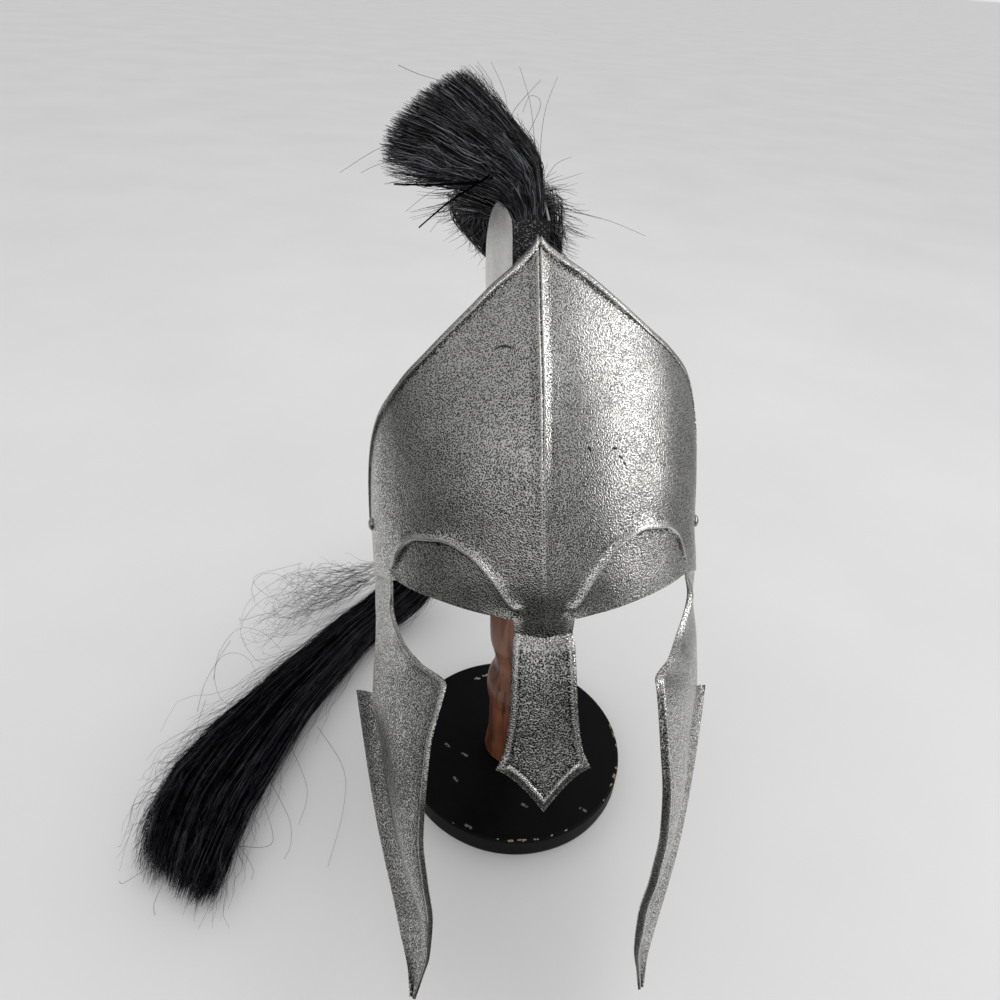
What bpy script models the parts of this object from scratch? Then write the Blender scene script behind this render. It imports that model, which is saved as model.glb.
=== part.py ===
"""Spartan helmet with a horsehair plume, tilted back on a turned wooden stand.

The table is z = 0 and the centre of the stand's base is the origin.  The helmet's pieces are
modelled upright in the helmet's own frame (x across, -y to the face, z up, the bridge of the
nose on x = 0, z = 0) and hang under an empty, which gives the helmet its lean on the post.
The stand and the long tail of hair, which lies on the table, are placed in the world.
Sizes are in millimetres and are scaled once, where vertices are made.
"""
import math
from collections import namedtuple

import bmesh
import bpy
from mathutils import Vector

MM = 0.001
GAP = 0.3                     # air between touching pieces
SHEET = 1.5                   # thickness of the sheet steel

# How the helmet sits on the post.
LEAN_BACK = 26.4              # degrees
LEAN_SIDE = 2.3
TURN = 5.2
HELMET_AT = (-2.6, -31.2, 250.7)

# Face plate: the visor is an arc between the centre crease and the temples.
CREASE_ANGLE = 14.0           # degrees round the arc, where the two halves meet
NASAL_ANGLE = 21.5            # edge of the nose guard
STRIP_ANGLE = 63.5            # front edge of the side strip
TEMPLE_ANGLE = 88.0           # rear edge of the plate
LIP_WIDTH = 6.0
LIP_RISE = 2.4
RIM_WIDTH = 5.0
RIM_RISE = 1.5
ARC_RISE = 1.2                # brow arc: proud above its crease, sunk below it
ARC_SINK = 1.9
ARC_HALF_WIDTH = 1.3

VisorLevel = namedtuple("VisorLevel", "z crease_y side_y half_width")
VISOR_LEVELS = [
    VisorLevel(-20, -117, -20, 109),
    VisorLevel(0, -119.5, -20, 109),
    VisorLevel(30, -124, -20, 110.5),
    VisorLevel(70, -124, -20, 111),
    VisorLevel(100, -122.5, -18, 110.5),
    VisorLevel(132, -118, -12, 108),
    VisorLevel(170, -105, -4, 102.5),
    VisorLevel(200, -89.5, 2, 96),
    VisorLevel(226, -72, 8, 88),
]

# Heights of the brow edge, brow arc and rim round the visor.  The rim was cut by hand: it
# stands higher by `skew` on the right half (+x) and lower by as much on the left.
VisorEdge = namedtuple("VisorEdge", "angle brow arc rim skew")
VISOR_EDGES = [
    VisorEdge(14, 4, 13, 226, 0),
    VisorEdge(21.5, 5, 14, 211, 3),
    VisorEdge(26.5, 6.5, 27, 203, 4.5),
    VisorEdge(33, 8.5, 40, 191, 6),
    VisorEdge(42, 11.5, 47.7, 175.5, 7),
    VisorEdge(49, 12.5, 47.5, 164.5, 8),
    VisorEdge(55, 12.5, 42, 156.5, 9),
    VisorEdge(60.5, 11.5, 28, 148.5, 10),
    VisorEdge(63.5, 10.5, 21, 144.5, 10.5),
    VisorEdge(70, 7, 17, 135, 11),
    VisorEdge(76, 3, 13, 121, 11),
    VisorEdge(82, 0, 10, 99, 9),
    VisorEdge(88, -2, 8, 58, 5),
]

NasalLevel = namedtuple("NasalLevel", "half_width edge_y edge_z centre_y centre_z rim")
NASAL_LEVELS = [
    NasalLevel(17.2, -112.5, -4, -116, -6, 0),
    NasalLevel(18.5, -115.5, -10, -119, -11, 1),
    NasalLevel(19.4, -117.5, -32, -121, -33, 1),
    NasalLevel(20.6, -119.5, -54, -123, -58, 1),
    NasalLevel(24, -121.5, -76, -125, -88, 1),
    NasalLevel(28.5, -122.5, -86, -127, -111, 1),
]
NASAL_HOLLOW = 1.5            # how strongly the spade's lower edges curve in

CheekLevel = namedtuple("CheekLevel", "front valley edge bulge")
STRIP_LEVELS = [
    CheekLevel((95.5, -60, -10), (107.5, -24, -13), None, 1),
    CheekLevel((86, -82, -18), (108.5, -31, -30), None, 2.5),
    CheekLevel((75.5, -103, -25), (109.5, -40, -47), None, 4),
    CheekLevel((65, -122, -33), (110, -50, -66), (120, -42, -68), 5),
]
CHEEK_LEVELS = [
    STRIP_LEVELS[-1],
    CheekLevel((67, -131, -65), (104, -63, -90), (115, -52, -92), 6),
    CheekLevel((69.5, -134, -95), (98, -75, -115), (109.5, -62, -117), 6),
    CheekLevel((70.5, -132, -122), (91.5, -86, -139), (103.5, -72, -141), 5),
    CheekLevel((67, -132, -150), (83, -97, -163), (97, -81, -166), 4),
    CheekLevel((63, -127, -180), (73.5, -106, -188), (90.5, -87, -190), 2),
    CheekLevel((64, -121, -207), (70, -110, -210), (84, -92, -214), 0.5),
    CheekLevel((69, -114, -230), (72.5, -108, -232), (77.5, -101, -233), 0),
    CheekLevel((73, -109.5, -246), (74, -108.7, -246.2), (75.5, -107.5, -246), 0),
]

CHEEK_SWAY = 9                # both cheek pieces are bent over to the left by this at the tips
CHEEK_SWAY_POWER = 1.7

# Bowl: a long dome, lowest at the nape, with its brow edge hidden behind the visor.
BOWL_HALF_WIDTH = 107.3
BOWL_CENTRE_Y = -5
BOWL_FRONT = 100              # reach forward and back of the centre
BOWL_BACK = 117
BOWL_SQUARENESS = 2.2         # 2 is an ellipse in plan
BOWL_WIDEST_Z = 50
BOWL_CROWN_Z = 200
BOWL_CROWN_SHIFT = 14
BOWL_RIM_FRONT = 24
BOWL_RIM_BACK = -38
NAPE_FLARE = 0.07

# Rivets through the face plate and the bowl, one at each temple.
RIVET_ANGLE = 80
RIVET_Z = 48
RIVET_SHANK = 2.0
RIVET_HEAD = 4.2
RIVET_GRIP = 7.8              # from the plate's face to behind the bowl's inner face

# Crest holder: an open channel along the crown, a little askew.
HOLDER_FRONT = (-2.5, -52)
HOLDER_TURN = 5.0
HolderLevel = namedtuple("HolderLevel", "along half_width top_z")
HOLDER_LEVELS = [
    HolderLevel(0, 9.5, 240),
    HolderLevel(10, 10.5, 246),
    HolderLevel(24, 12, 253.5),
    HolderLevel(42, 14, 260),
    HolderLevel(62, 16, 263),
    HolderLevel(84, 17, 260),
    HolderLevel(104, 17, 251),
    HolderLevel(122, 16, 236),
    HolderLevel(136, 14.5, 217),
]

# Hair.  Each level is a cross-section of the bundle: centre, half its width and thickness,
# and the direction in which it spreads, in degrees round the vertical.
LOCKS = 9
LOCK_DEPTH = 0.09
HairLevel = namedtuple("HairLevel", "x y z half_width half_thickness spread")
BRUSH_LEVELS = [
    HairLevel(-3.9, -36, 205, 7.5, 8, 0),
    HairLevel(-3.9, -36, 232, 8, 9, 0),
    HairLevel(-4.3, -36, 245, 8, 9, 0),
    HairLevel(-6.3, -36.5, 257, 9.8, 10, 0),
    HairLevel(-13, -37, 270, 15.5, 13, 0),
    HairLevel(-27, -38, 279.5, 22, 16, 0),
    HairLevel(-45, -39, 287.5, 30, 17, 0),
    HairLevel(-62, -40, 295.5, 34, 17, 0),
    HairLevel(-77, -41, 300, 30, 14, 0),
    HairLevel(-85, -41.5, 302.5, 17, 7, 0),
]
TAIL_LEVELS = [
    HairLevel(-29.2, 82, 459, 10, 12, 5),
    HairLevel(-33.3, 105, 456, 11, 12, 5),
    HairLevel(-37.5, 130, 464, 12, 12, 5),
    HairLevel(-39, 153, 468, 37, 19, 4),
    HairLevel(-36, 189, 446, 33, 21, 2),
    HairLevel(-27, 208, 395, 24, 20, 0),
    HairLevel(-32, 214, 320, 25, 20, -4),
    HairLevel(-48, 213, 230, 26, 19, -10),
    HairLevel(-69, 209, 140, 27, 18, -18),
    HairLevel(-96, 198, 76, 28, 17, -28),
    HairLevel(-130, 171, 36, 31, 17, -40),
    HairLevel(-165, 128, 21, 35, 18, -45),
    HairLevel(-198, 67, 21, 37, 19, -38),
    HairLevel(-225, 0, 21, 39, 20, -25),
    HairLevel(-244, -70, 21, 40, 20, -12),
    HairLevel(-253, -126, 21, 37, 20, -3),
    HairLevel(-252, -158, 20, 33, 16, 3),
    HairLevel(-250, -167, 18, 24, 9, 3),
]

# Stand.
BASE_RADIUS = 100
BASE_HEIGHT = 20
BASE_ROUND = 2
POST_FOOT = BASE_HEIGHT + GAP
POST_TOP = 429.7
PostLevel = namedtuple("PostLevel", "z radius")
POST_LEVELS = [
    PostLevel(POST_FOOT, 25.5),
    PostLevel(30, 24.6),
    PostLevel(43, 23.3),
    PostLevel(72, 23.8),
    PostLevel(86, 24.8),
    PostLevel(92, 26.4),
    PostLevel(104, 27.8),
    PostLevel(112, 27.2),
    PostLevel(121, 24.6),
    PostLevel(129, 22.4),
    PostLevel(137, 22.6),
    PostLevel(147, 25),
    PostLevel(160, 28),
    PostLevel(185, 29.4),
    PostLevel(230, 27.5),
    PostLevel(290, 25),
    PostLevel(350, 24),
    PostLevel(395, 23.5),
]
POST_DOME = 23.5

HAMMERED = ("hammered_silver", (0.52, 0.52, 0.51), 0.38, 0.9)
HAIR = ("black_horsehair", (0.012, 0.012, 0.014), 0.45, 0.0)
BLACK_PAINT = ("black_painted_board", (0.015, 0.015, 0.016), 0.4, 0.0)
TURNED_WOOD = ("turned_brown_wood", (0.26, 0.11, 0.05), 0.4, 0.0)


def smooth(table, column, where):
    """Value of a column at `where` in the table's first column, on a smooth curve."""
    keys = [row[0] for row in table]
    values = [getattr(row, column) for row in table]
    where = min(max(where, keys[0]), keys[-1])
    i = max(j for j in range(len(keys) - 1) if keys[j] <= where)
    slopes = []
    for j in range(len(keys) - 1):
        slopes.append((values[j + 1] - values[j]) / (keys[j + 1] - keys[j]))

    def tangent(j):
        if j == 0 or j == len(keys) - 1:
            return slopes[0] if j == 0 else slopes[-1]
        if slopes[j - 1] * slopes[j] <= 0:
            return 0.0
        return 2 * slopes[j - 1] * slopes[j] / (slopes[j - 1] + slopes[j])

    width = keys[i + 1] - keys[i]
    t = (where - keys[i]) / width
    rise = values[i + 1] - values[i]
    start = tangent(i) * width
    end = tangent(i + 1) * width
    return values[i] + t * start + t * t * (3 * rise - 2 * start - end) + t ** 3 * (start + end - 2 * rise)


def along_levels(table, column, steps):
    """Points or numbers of one column, with `steps` between one table row and the next."""
    numbered = namedtuple("Numbered", "i value")
    stops = [n / steps for n in range((len(table) - 1) * steps + 1)]
    values = [getattr(level, column) for level in table]
    if not isinstance(values[0], tuple):
        rows = [numbered(*pair) for pair in enumerate(values)]
        return [smooth(rows, "value", stop) for stop in stops]
    tracks = []
    for track in zip(*values):
        rows = [numbered(*pair) for pair in enumerate(track)]
        tracks.append([smooth(rows, "value", stop) for stop in stops])
    return [Vector(point) for point in zip(*tracks)]


def material(spec):
    name, colour, roughness, metallic = spec
    found = bpy.data.materials.get(name)
    if found:
        return found
    made = bpy.data.materials.new(name)
    made.use_nodes = True
    shader = made.node_tree.nodes["Principled BSDF"]
    shader.inputs["Base Color"].default_value = (*colour, 1)
    shader.inputs["Roughness"].default_value = roughness
    shader.inputs["Metallic"].default_value = metallic
    return made


def add_grid(bm, rows, side=1):
    """Quads between rows of points in millimetres; a side of -1 builds the mirror image."""
    made = []
    for row in rows:
        made.append([bm.verts.new(Vector((x * side, y, z)) * MM) for x, y, z in row])
    for lower, upper in zip(made, made[1:]):
        for i in range(len(lower) - 1):
            corners = (lower[i], lower[i + 1], upper[i + 1], upper[i])
            bm.faces.new(corners[::side])
    return made


def finish_object(name, bm, spec, collection, parent=None):
    bmesh.ops.remove_doubles(bm, verts=bm.verts, dist=0.00005)
    mesh = bpy.data.meshes.new(name)
    bm.to_mesh(mesh)
    bm.free()
    made = bpy.data.objects.new(name, mesh)
    made.data.materials.append(material(spec))
    made.parent = parent
    collection.objects.link(made)
    return made


def add_sheet(made):
    sheet = made.modifiers.new("sheet", "SOLIDIFY")
    sheet.thickness = SHEET * MM
    sheet.offset = -1
    sheet.use_even_offset = True


def visor_surface(angle, z):
    """A point of the plain visor, before its lip and brow arcs are raised."""
    crease_y = smooth(VISOR_LEVELS, "crease_y", z)
    side_y = smooth(VISOR_LEVELS, "side_y", z)
    half_width = smooth(VISOR_LEVELS, "half_width", z)
    start = math.radians(CREASE_ANGLE)
    turn = math.radians(angle)
    x = half_width * (math.sin(turn) - math.sin(start)) / (1 - math.sin(start))
    y = side_y - (side_y - crease_y) * math.cos(turn) / math.cos(start)
    return Vector((x, y, z))


def visor_normal(angle, z):
    across = visor_surface(angle + 0.5, z) - visor_surface(angle - 0.5, z)
    up = visor_surface(angle, z + 1) - visor_surface(angle, z - 1)
    return across.cross(up).normalized()


def visor_point(angle, z, raised):
    point = visor_surface(angle, z)
    if raised:
        point += visor_normal(angle, z) * raised
    if angle == CREASE_ANGLE:
        point.x = 0
    return point


def visor_angles():
    nose = [14, 15.8, 17.6, 19.3, NASAL_ANGLE]
    eye_steps = 12
    eye = [NASAL_ANGLE + (STRIP_ANGLE - NASAL_ANGLE) * i / eye_steps for i in range(1, eye_steps + 1)]
    strip_steps = 6
    strip = [STRIP_ANGLE + (TEMPLE_ANGLE - STRIP_ANGLE) * i / strip_steps for i in range(1, strip_steps + 1)]
    return nose, eye, strip


def visor_column(angle, side):
    """Points up one column of the visor, from the brow edge to the rim."""
    brow = smooth(VISOR_EDGES, "brow", angle)
    arc = smooth(VISOR_EDGES, "arc", angle)
    rim = smooth(VISOR_EDGES, "rim", angle) + side * smooth(VISOR_EDGES, "skew", angle)
    ramp = min((angle - NASAL_ANGLE) / 5, (STRIP_ANGLE - angle) / 4, 1)
    strength = max(ramp, 0)
    under = arc - ARC_HALF_WIDTH
    over = arc + ARC_HALF_WIDTH
    heights = [(brow, 0), (brow + (under - brow) * 0.5, -0.8 * ARC_SINK), (under, -ARC_SINK),
               (over, ARC_RISE), (over + 7, 0.5 * ARC_RISE)]
    points = [visor_point(angle, z, raised * strength) for z, raised in heights]
    low = over + 7
    high = rim - LIP_WIDTH
    plain_steps = 9
    for i in range(1, plain_steps + 1):
        points.append(visor_point(angle, low + (high - low) * i / plain_steps, 0))
    points.append(visor_point(angle, rim, LIP_RISE))
    return points


def nasal_rows(brow_row):
    """Rows from the spade's lower edge up to the brow, which the visor shares."""
    fractions = [0, 0.35, 0.7, None, 1]
    rows = []
    for level in NASAL_LEVELS:
        row = []
        for fraction in fractions:
            s = 1 - RIM_WIDTH / level.half_width if fraction is None else fraction
            drop = 1 - (1 - s) ** NASAL_HOLLOW
            raised = RIM_RISE * level.rim * (s == 1 or level is NASAL_LEVELS[-1])
            y = level.centre_y + (level.edge_y - level.centre_y) * s - raised
            z = level.centre_z + (level.edge_z - level.centre_z) * drop
            row.append((level.half_width * s, y, z))
        rows.append(row)
    lower = NASAL_LEVELS[-1]
    inner = [(x * 0.86, y + RIM_RISE, z + RIM_WIDTH) for x, y, z in rows[-1]]
    inner[0] = (0, lower.centre_y + 0.4, lower.centre_z + RIM_WIDTH * 1.7)
    inner[-1] = (inner[-1][0], inner[-1][1] - RIM_RISE, inner[-1][2])
    rows.insert(-1, inner)
    return rows[::-1] + [brow_row]


def cheek_row(front, back, bulge, rim, count):
    """Points from a plate's front edge to its back line, bulging outwards between them."""
    chord = back - front
    outward = Vector((chord.y, -chord.x, 0)).normalized()
    inset = min(RIM_WIDTH / chord.length, 0.35)
    row = []
    for i in range(count + 1):
        s = 0 if i == 0 else inset + (1 - inset) * (i - 1) / (count - 1)
        raised = rim if i == 0 else 0
        row.append(front + chord * s + outward * (bulge * math.sin(math.pi * s) + raised))
    return row


def swayed(point, side):
    """A cheek point moved with the sideways bend of both cheek pieces."""
    top = STRIP_LEVELS[-1].front[2]
    tip = CHEEK_LEVELS[-1].front[2]
    down = max(0, (top - point.z) / (top - tip))
    return Vector((point.x - side * CHEEK_SWAY * down ** CHEEK_SWAY_POWER, point.y, point.z))


def strip_and_cheek_rows(brow_row, side):
    """Rows of the side strip and the cheek piece up to the brow, and those of the flange."""
    count = len(brow_row) - 1
    rows = []
    flange = []
    for table, steps in ((STRIP_LEVELS, 2), (CHEEK_LEVELS, 2)):
        fronts = [swayed(point, side) for point in along_levels(table, "front", steps)]
        valleys = [swayed(point, side) for point in along_levels(table, "valley", steps)]
        bulges = along_levels(table, "bulge", steps)
        cheek = table is CHEEK_LEVELS
        edges = [swayed(point, side) for point in along_levels(table, "edge", steps)] if cheek else []
        for i in range(1 if cheek else 0, len(fronts)):
            rim = RIM_RISE * (1 if cheek or i else 0.4)
            width = (valleys[i] - fronts[i]).length
            rim = min(rim, 0.1 * width)
            rows.append(cheek_row(fronts[i], valleys[i], bulges[i], rim, count))
        for valley, edge in zip(valleys, edges):
            flange.append([valley, (valley + edge) / 2, edge])
    return rows[::-1] + [brow_row], flange[::-1]


def build_face_plate(collection, pose):
    nose, eye, strip = visor_angles()
    bm = bmesh.new()
    for side in (1, -1):
        columns = [visor_column(angle, side) for angle in nose + eye + strip]
        rows = [list(row) for row in zip(*columns)]
        add_grid(bm, rows, side)
        add_grid(bm, nasal_rows(rows[0][:len(nose)]), side)
        strip_brow = rows[0][len(nose) + len(eye) - 1:]
        cheek, flange = strip_and_cheek_rows(strip_brow, side)
        add_grid(bm, cheek, side)
        add_grid(bm, flange, side)
    plate = finish_object("face_plate", bm, HAMMERED, collection, pose)
    add_sheet(plate)
    return plate


def signed_power(value, power):
    return math.copysign(abs(value) ** power, value)


def bowl_point(azimuth, climb):
    """Outer face of the bowl; azimuth 0 is the front, climb -1 the rim and 1 the crown."""
    power = 2 / BOWL_SQUARENESS
    ahead = math.cos(azimuth)
    x = BOWL_HALF_WIDTH * signed_power(math.sin(azimuth), power)
    y = -(BOWL_FRONT if ahead > 0 else BOWL_BACK) * signed_power(ahead, power)
    if climb >= 0:
        turn = climb * math.pi / 2
        shrink = math.cos(turn)
        z = BOWL_WIDEST_Z + (BOWL_CROWN_Z - BOWL_WIDEST_Z) * math.sin(turn) ** 0.95
        return Vector((x * shrink, BOWL_CENTRE_Y + BOWL_CROWN_SHIFT * climb + y * shrink ** 0.9, z))
    backness = ((1 - ahead) / 2) ** 1.4
    rim_z = BOWL_RIM_FRONT + (BOWL_RIM_BACK - BOWL_RIM_FRONT) * backness
    z = BOWL_WIDEST_Z + (BOWL_WIDEST_Z - rim_z) * climb
    sweep = 1 + backness * (NAPE_FLARE * climb ** 2 - 0.05 * math.sin(-climb * math.pi)) - 0.02 * climb ** 2
    return Vector((x * sweep, BOWL_CENTRE_Y + y * sweep, z))


def bowl_roof(y):
    """Height of the bowl over the middle line, found by walking up its profile."""
    azimuth = 0 if y < BOWL_CENTRE_Y + BOWL_CROWN_SHIFT else math.pi
    steps = 400
    best = min((bowl_point(azimuth, i / steps) for i in range(steps + 1)), key=lambda p: abs(p.y - y))
    return best.z


def build_bowl(collection, pose):
    around = 40
    climbs = [-1, -0.75, -0.5, -0.25, 0, 0.12, 0.24, 0.36, 0.48, 0.6, 0.7, 0.8, 0.89, 0.96, 1]
    rows = []
    for climb in climbs:
        rows.append([bowl_point(2 * math.pi * i / around, climb) for i in range(around + 1)])
    bm = bmesh.new()
    add_grid(bm, rows)
    bowl = finish_object("bowl", bm, HAMMERED, collection, pose)
    add_sheet(bowl)
    return bowl


def holder_station(level):
    """Centre and sideways direction of the crest holder at one level along it."""
    turn = math.radians(HOLDER_TURN)
    ahead = Vector((-math.sin(turn), math.cos(turn), 0))
    side = Vector((ahead.y, -ahead.x, 0))
    return Vector((*HOLDER_FRONT, 0)) + ahead * level.along, side


def build_crest_holder(collection, pose):
    bm = bmesh.new()
    rows = []
    for level in HOLDER_LEVELS:
        centre, side = holder_station(level)
        floor = bowl_roof(centre.y) + GAP + SHEET
        row = []
        for sign, heights in ((1, (1, 0.5, 0)), (-1, (0, 0.5, 1))):
            for height in heights:
                point = centre + side * sign * level.half_width
                point.z = floor + (level.top_z - floor) * height
                row.append(point)
        rows.append(row)
    made = add_grid(bm, rows)
    right_top, right_mid, right_foot, left_foot, left_mid, left_top = made[0]
    bm.faces.new((right_foot, right_mid, left_mid, left_foot))
    bm.faces.new((right_mid, right_top, left_top, left_mid))
    holder = finish_object("crest_holder", bm, HAMMERED, collection, pose)
    add_sheet(holder)
    return holder


def hair_sections(table, steps):
    """Cross-sections of a bundle: centre, sideways and thickness vectors."""
    centres = []
    for values in zip(*(along_levels(table, column, steps) for column in ("x", "y", "z"))):
        centres.append(Vector(values))
    widths = along_levels(table, "half_width", steps)
    depths = along_levels(table, "half_thickness", steps)
    spreads = along_levels(table, "spread", steps)
    sections = []
    for i, centre in enumerate(centres):
        ahead = centres[min(i + 1, len(centres) - 1)] - centres[max(i - 1, 0)]
        turn = math.radians(spreads[i])
        side = Vector((math.cos(turn), math.sin(turn), 0))
        side -= side.project(ahead)
        side.normalize()
        thick = side.cross(ahead).normalized()
        sections.append((centre, side * widths[i], thick * depths[i]))
    return sections


def build_hair(name, table, steps, around, collection, parent=None):
    """A bundle of locks fused into one closed form, with a shallow furrow between locks."""
    bm = bmesh.new()
    rings = []
    for n, (centre, side, thick) in enumerate(hair_sections(table, steps)):
        ring = []
        for i in range(around):
            turn = 2 * math.pi * i / around
            furrow = 1 - LOCK_DEPTH * (0.5 + 0.5 * math.cos(LOCKS * turn + 0.15 * n))
            point = centre + (side * math.cos(turn) + thick * math.sin(turn)) * furrow
            ring.append(bm.verts.new(point * MM))
        rings.append(ring)
    for lower, upper in zip(rings, rings[1:]):
        for i in range(around):
            j = (i + 1) % around
            bm.faces.new((lower[i], lower[j], upper[j], upper[i]))
    bm.faces.new(rings[0][::-1])
    bm.faces.new(rings[-1])
    bmesh.ops.recalc_face_normals(bm, faces=bm.faces)
    return finish_object(name, bm, HAIR, collection, parent)


def rivet_frame(side):
    """Place and outward direction of a rivet; side is 1 or -1."""
    at = visor_surface(RIVET_ANGLE, RIVET_Z)
    out = visor_normal(RIVET_ANGLE, RIVET_Z)
    at.x *= side
    out.x *= side
    return at, out.to_track_quat("Z", "Y")


def spun_object(name, profile, segments, spec, collection, parent=None):
    """A turned piece: (radius, z) points in millimetres, spun about Z."""
    bm = bmesh.new()
    verts = [bm.verts.new(Vector((radius, 0, z)) * MM) for radius, z in profile]
    for low, high in zip(verts, verts[1:]):
        bm.edges.new((low, high))
    made = finish_object(name, bm, spec, collection, parent)
    screw = made.modifiers.new("turned", "SCREW")
    screw.steps = segments
    screw.render_steps = segments
    screw.use_merge_vertices = True
    screw.merge_threshold = 0.00001
    screw.use_normal_flip = True
    return made


def build_rivets(collection, cutters, pose, sheets):
    """Two domed rivets, with clearance holes cut for them in both sheets."""
    back = -RIVET_GRIP
    profile = [(0, back - 1.2), (2.6, back - 1.0), (3.1, back), (RIVET_SHANK, back),
               (RIVET_SHANK, GAP), (RIVET_HEAD, GAP), (3.8, 1.4), (2.4, 2.3), (0, 2.7)]
    for side, name in ((1, "rivet_right"), (-1, "rivet_left")):
        at, turn = rivet_frame(side)
        rivet = spun_object(name, profile, 14, HAMMERED, collection, pose)
        bpy.ops.mesh.primitive_cylinder_add(vertices=14, radius=(RIVET_SHANK + GAP) * MM, depth=24 * MM)
        cutter = bpy.context.active_object
        cutter.name = name + "_hole"
        for owner in list(cutter.users_collection):
            owner.objects.unlink(cutter)
        cutters.objects.link(cutter)
        cutter.hide_render = True
        cutter.display_type = "WIRE"
        cutter.parent = pose
        for made in (rivet, cutter):
            made.rotation_mode = "QUATERNION"
            made.location = at * MM
            made.rotation_quaternion = turn
        for sheet in sheets:
            hole = sheet.modifiers.new(name + "_hole", "BOOLEAN")
            hole.operation = "DIFFERENCE"
            hole.solver = "EXACT"
            hole.object = cutter


def build_stand(collection):
    r, h, c = BASE_RADIUS, BASE_HEIGHT, BASE_ROUND
    base_profile = [(0, 0), (r - c, 0), (r, c), (r, h - c), (r - 0.6 * c, h - 0.4 * c), (r - c, h), (0, h)]
    spun_object("stand_base", base_profile, 72, BLACK_PAINT, collection)
    profile = [(0, POST_FOOT)] + [(level.radius, level.z) for level in POST_LEVELS]
    for turn in (0, 20, 40, 60, 78, 90):
        radius = POST_DOME * math.cos(math.radians(turn))
        profile.append((radius, POST_TOP - POST_DOME * (1 - math.sin(math.radians(turn)))))
    spun_object("stand_post", profile, 28, TURNED_WOOD, collection)


def main():
    for old in list(bpy.data.objects):
        bpy.data.objects.remove(old)
    helmet = bpy.data.collections.new("spartan_helmet_on_stand")
    cutters = bpy.data.collections.new("cutters")
    bpy.context.scene.collection.children.link(helmet)
    bpy.context.scene.collection.children.link(cutters)
    pose = bpy.data.objects.new("helmet_pose", None)
    pose.location = Vector(HELMET_AT) * MM
    pose.rotation_euler = [math.radians(a) for a in (-LEAN_BACK, -LEAN_SIDE, TURN)]
    helmet.objects.link(pose)

    bowl = build_bowl(helmet, pose)
    plate = build_face_plate(helmet, pose)
    build_rivets(helmet, cutters, pose, (bowl, plate))
    build_crest_holder(helmet, pose)
    build_hair("plume_brush", BRUSH_LEVELS, 2, 18, helmet, pose)
    build_hair("plume_tail", TAIL_LEVELS, 2, 18, helmet)
    build_stand(helmet)


main()
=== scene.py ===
"""A spartan helmet with a horsehair plume, tilted back on its turned wooden stand."""
import math
from collections import namedtuple

import bmesh
import bpy
from mathutils import Euler, Matrix, Vector, noise


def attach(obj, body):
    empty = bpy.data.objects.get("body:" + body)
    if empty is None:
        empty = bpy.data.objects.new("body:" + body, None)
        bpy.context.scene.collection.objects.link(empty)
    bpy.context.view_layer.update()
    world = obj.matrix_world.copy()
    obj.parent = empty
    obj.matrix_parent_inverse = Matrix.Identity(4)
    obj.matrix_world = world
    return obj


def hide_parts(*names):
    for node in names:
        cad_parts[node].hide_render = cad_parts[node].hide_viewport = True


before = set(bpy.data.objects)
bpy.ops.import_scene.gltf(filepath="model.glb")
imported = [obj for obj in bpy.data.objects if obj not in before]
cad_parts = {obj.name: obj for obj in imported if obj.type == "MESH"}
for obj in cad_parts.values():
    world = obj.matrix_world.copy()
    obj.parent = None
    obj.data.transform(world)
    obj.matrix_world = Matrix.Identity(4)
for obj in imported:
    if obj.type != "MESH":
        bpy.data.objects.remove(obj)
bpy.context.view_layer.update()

# ------------------------------------------------------------------------------------------
# Table, light and camera.
# A white table in a pale room.  One tall softbox stands close on the right and draws the long
# bright stripe down the visor; a wide soft light overhead and the room itself do the rest.

MM = 0.001
scene = bpy.context.scene
scene.view_settings.view_transform = "Standard"


def put(target, source):
    """Feeds a socket from another one, or sets its own value."""
    if isinstance(source, bpy.types.NodeSocket):
        target.id_data.links.new(source, target)
    else:
        target.default_value = (*source, 1) if target.type == "RGBA" and isinstance(source, tuple) else source


def add_node(tree, kind, links=(), **values):
    """A node with its properties and sockets set; links are (socket, output or value) pairs."""
    node = tree.nodes.new(kind)
    for key, value in values.items():
        setattr(node, key, value)
    for socket, source in links:
        put(node.inputs[socket], source)
    return node


def node_among(kind, operation, output=0):
    """A function that does one sum in the node tree its first linked source belongs to."""
    def add_sum(*sources):
        tree = next(source for source in sources if isinstance(source, bpy.types.NodeSocket)).id_data
        return add_node(tree, kind, enumerate(sources), operation=operation).outputs[output]
    return add_sum


plus, minus, times, over, raised_to, least, most = (node_among("ShaderNodeMath", operation) for operation in (
    "ADD", "SUBTRACT", "MULTIPLY", "DIVIDE", "POWER", "MINIMUM", "MAXIMUM"))
times_plus, root_of, sine, cosine, whole_part = (node_among("ShaderNodeMath", operation) for operation in (
    "MULTIPLY_ADD", "SQRT", "SINE", "COSINE", "FLOOR"))


def ramp(source, *stops):
    """A colour ramp; a stop is (position, grey) or (position, (r, g, b))."""
    node = add_node(source.id_data, "ShaderNodeValToRGB", [("Fac", source)])
    elements = node.color_ramp.elements
    while len(elements) < len(stops):
        elements.new(0.5)
    for element, (position, colour) in zip(elements, stops):
        element.position = position
        element.color = (*(colour if isinstance(colour, tuple) else (colour,) * 3), 1)
    return node.outputs["Color"]


def mixed(factor, first, second, blend="MIX"):
    tree = next(source for source in (factor, first, second) if isinstance(source, bpy.types.NodeSocket)).id_data
    return add_node(tree, "ShaderNodeMix", [(0, factor), (6, first), (7, second)],
                    data_type="RGBA", blend_type=blend).outputs[2]


def cloud(place, scale, detail, output="Fac", **more):
    """Soft noise; `more` sets its other sockets."""
    links = [("Vector", place), ("Scale", scale), ("Detail", detail), *more.items()]
    return add_node(place.id_data, "ShaderNodeTexNoise", links).outputs[output]


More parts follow.
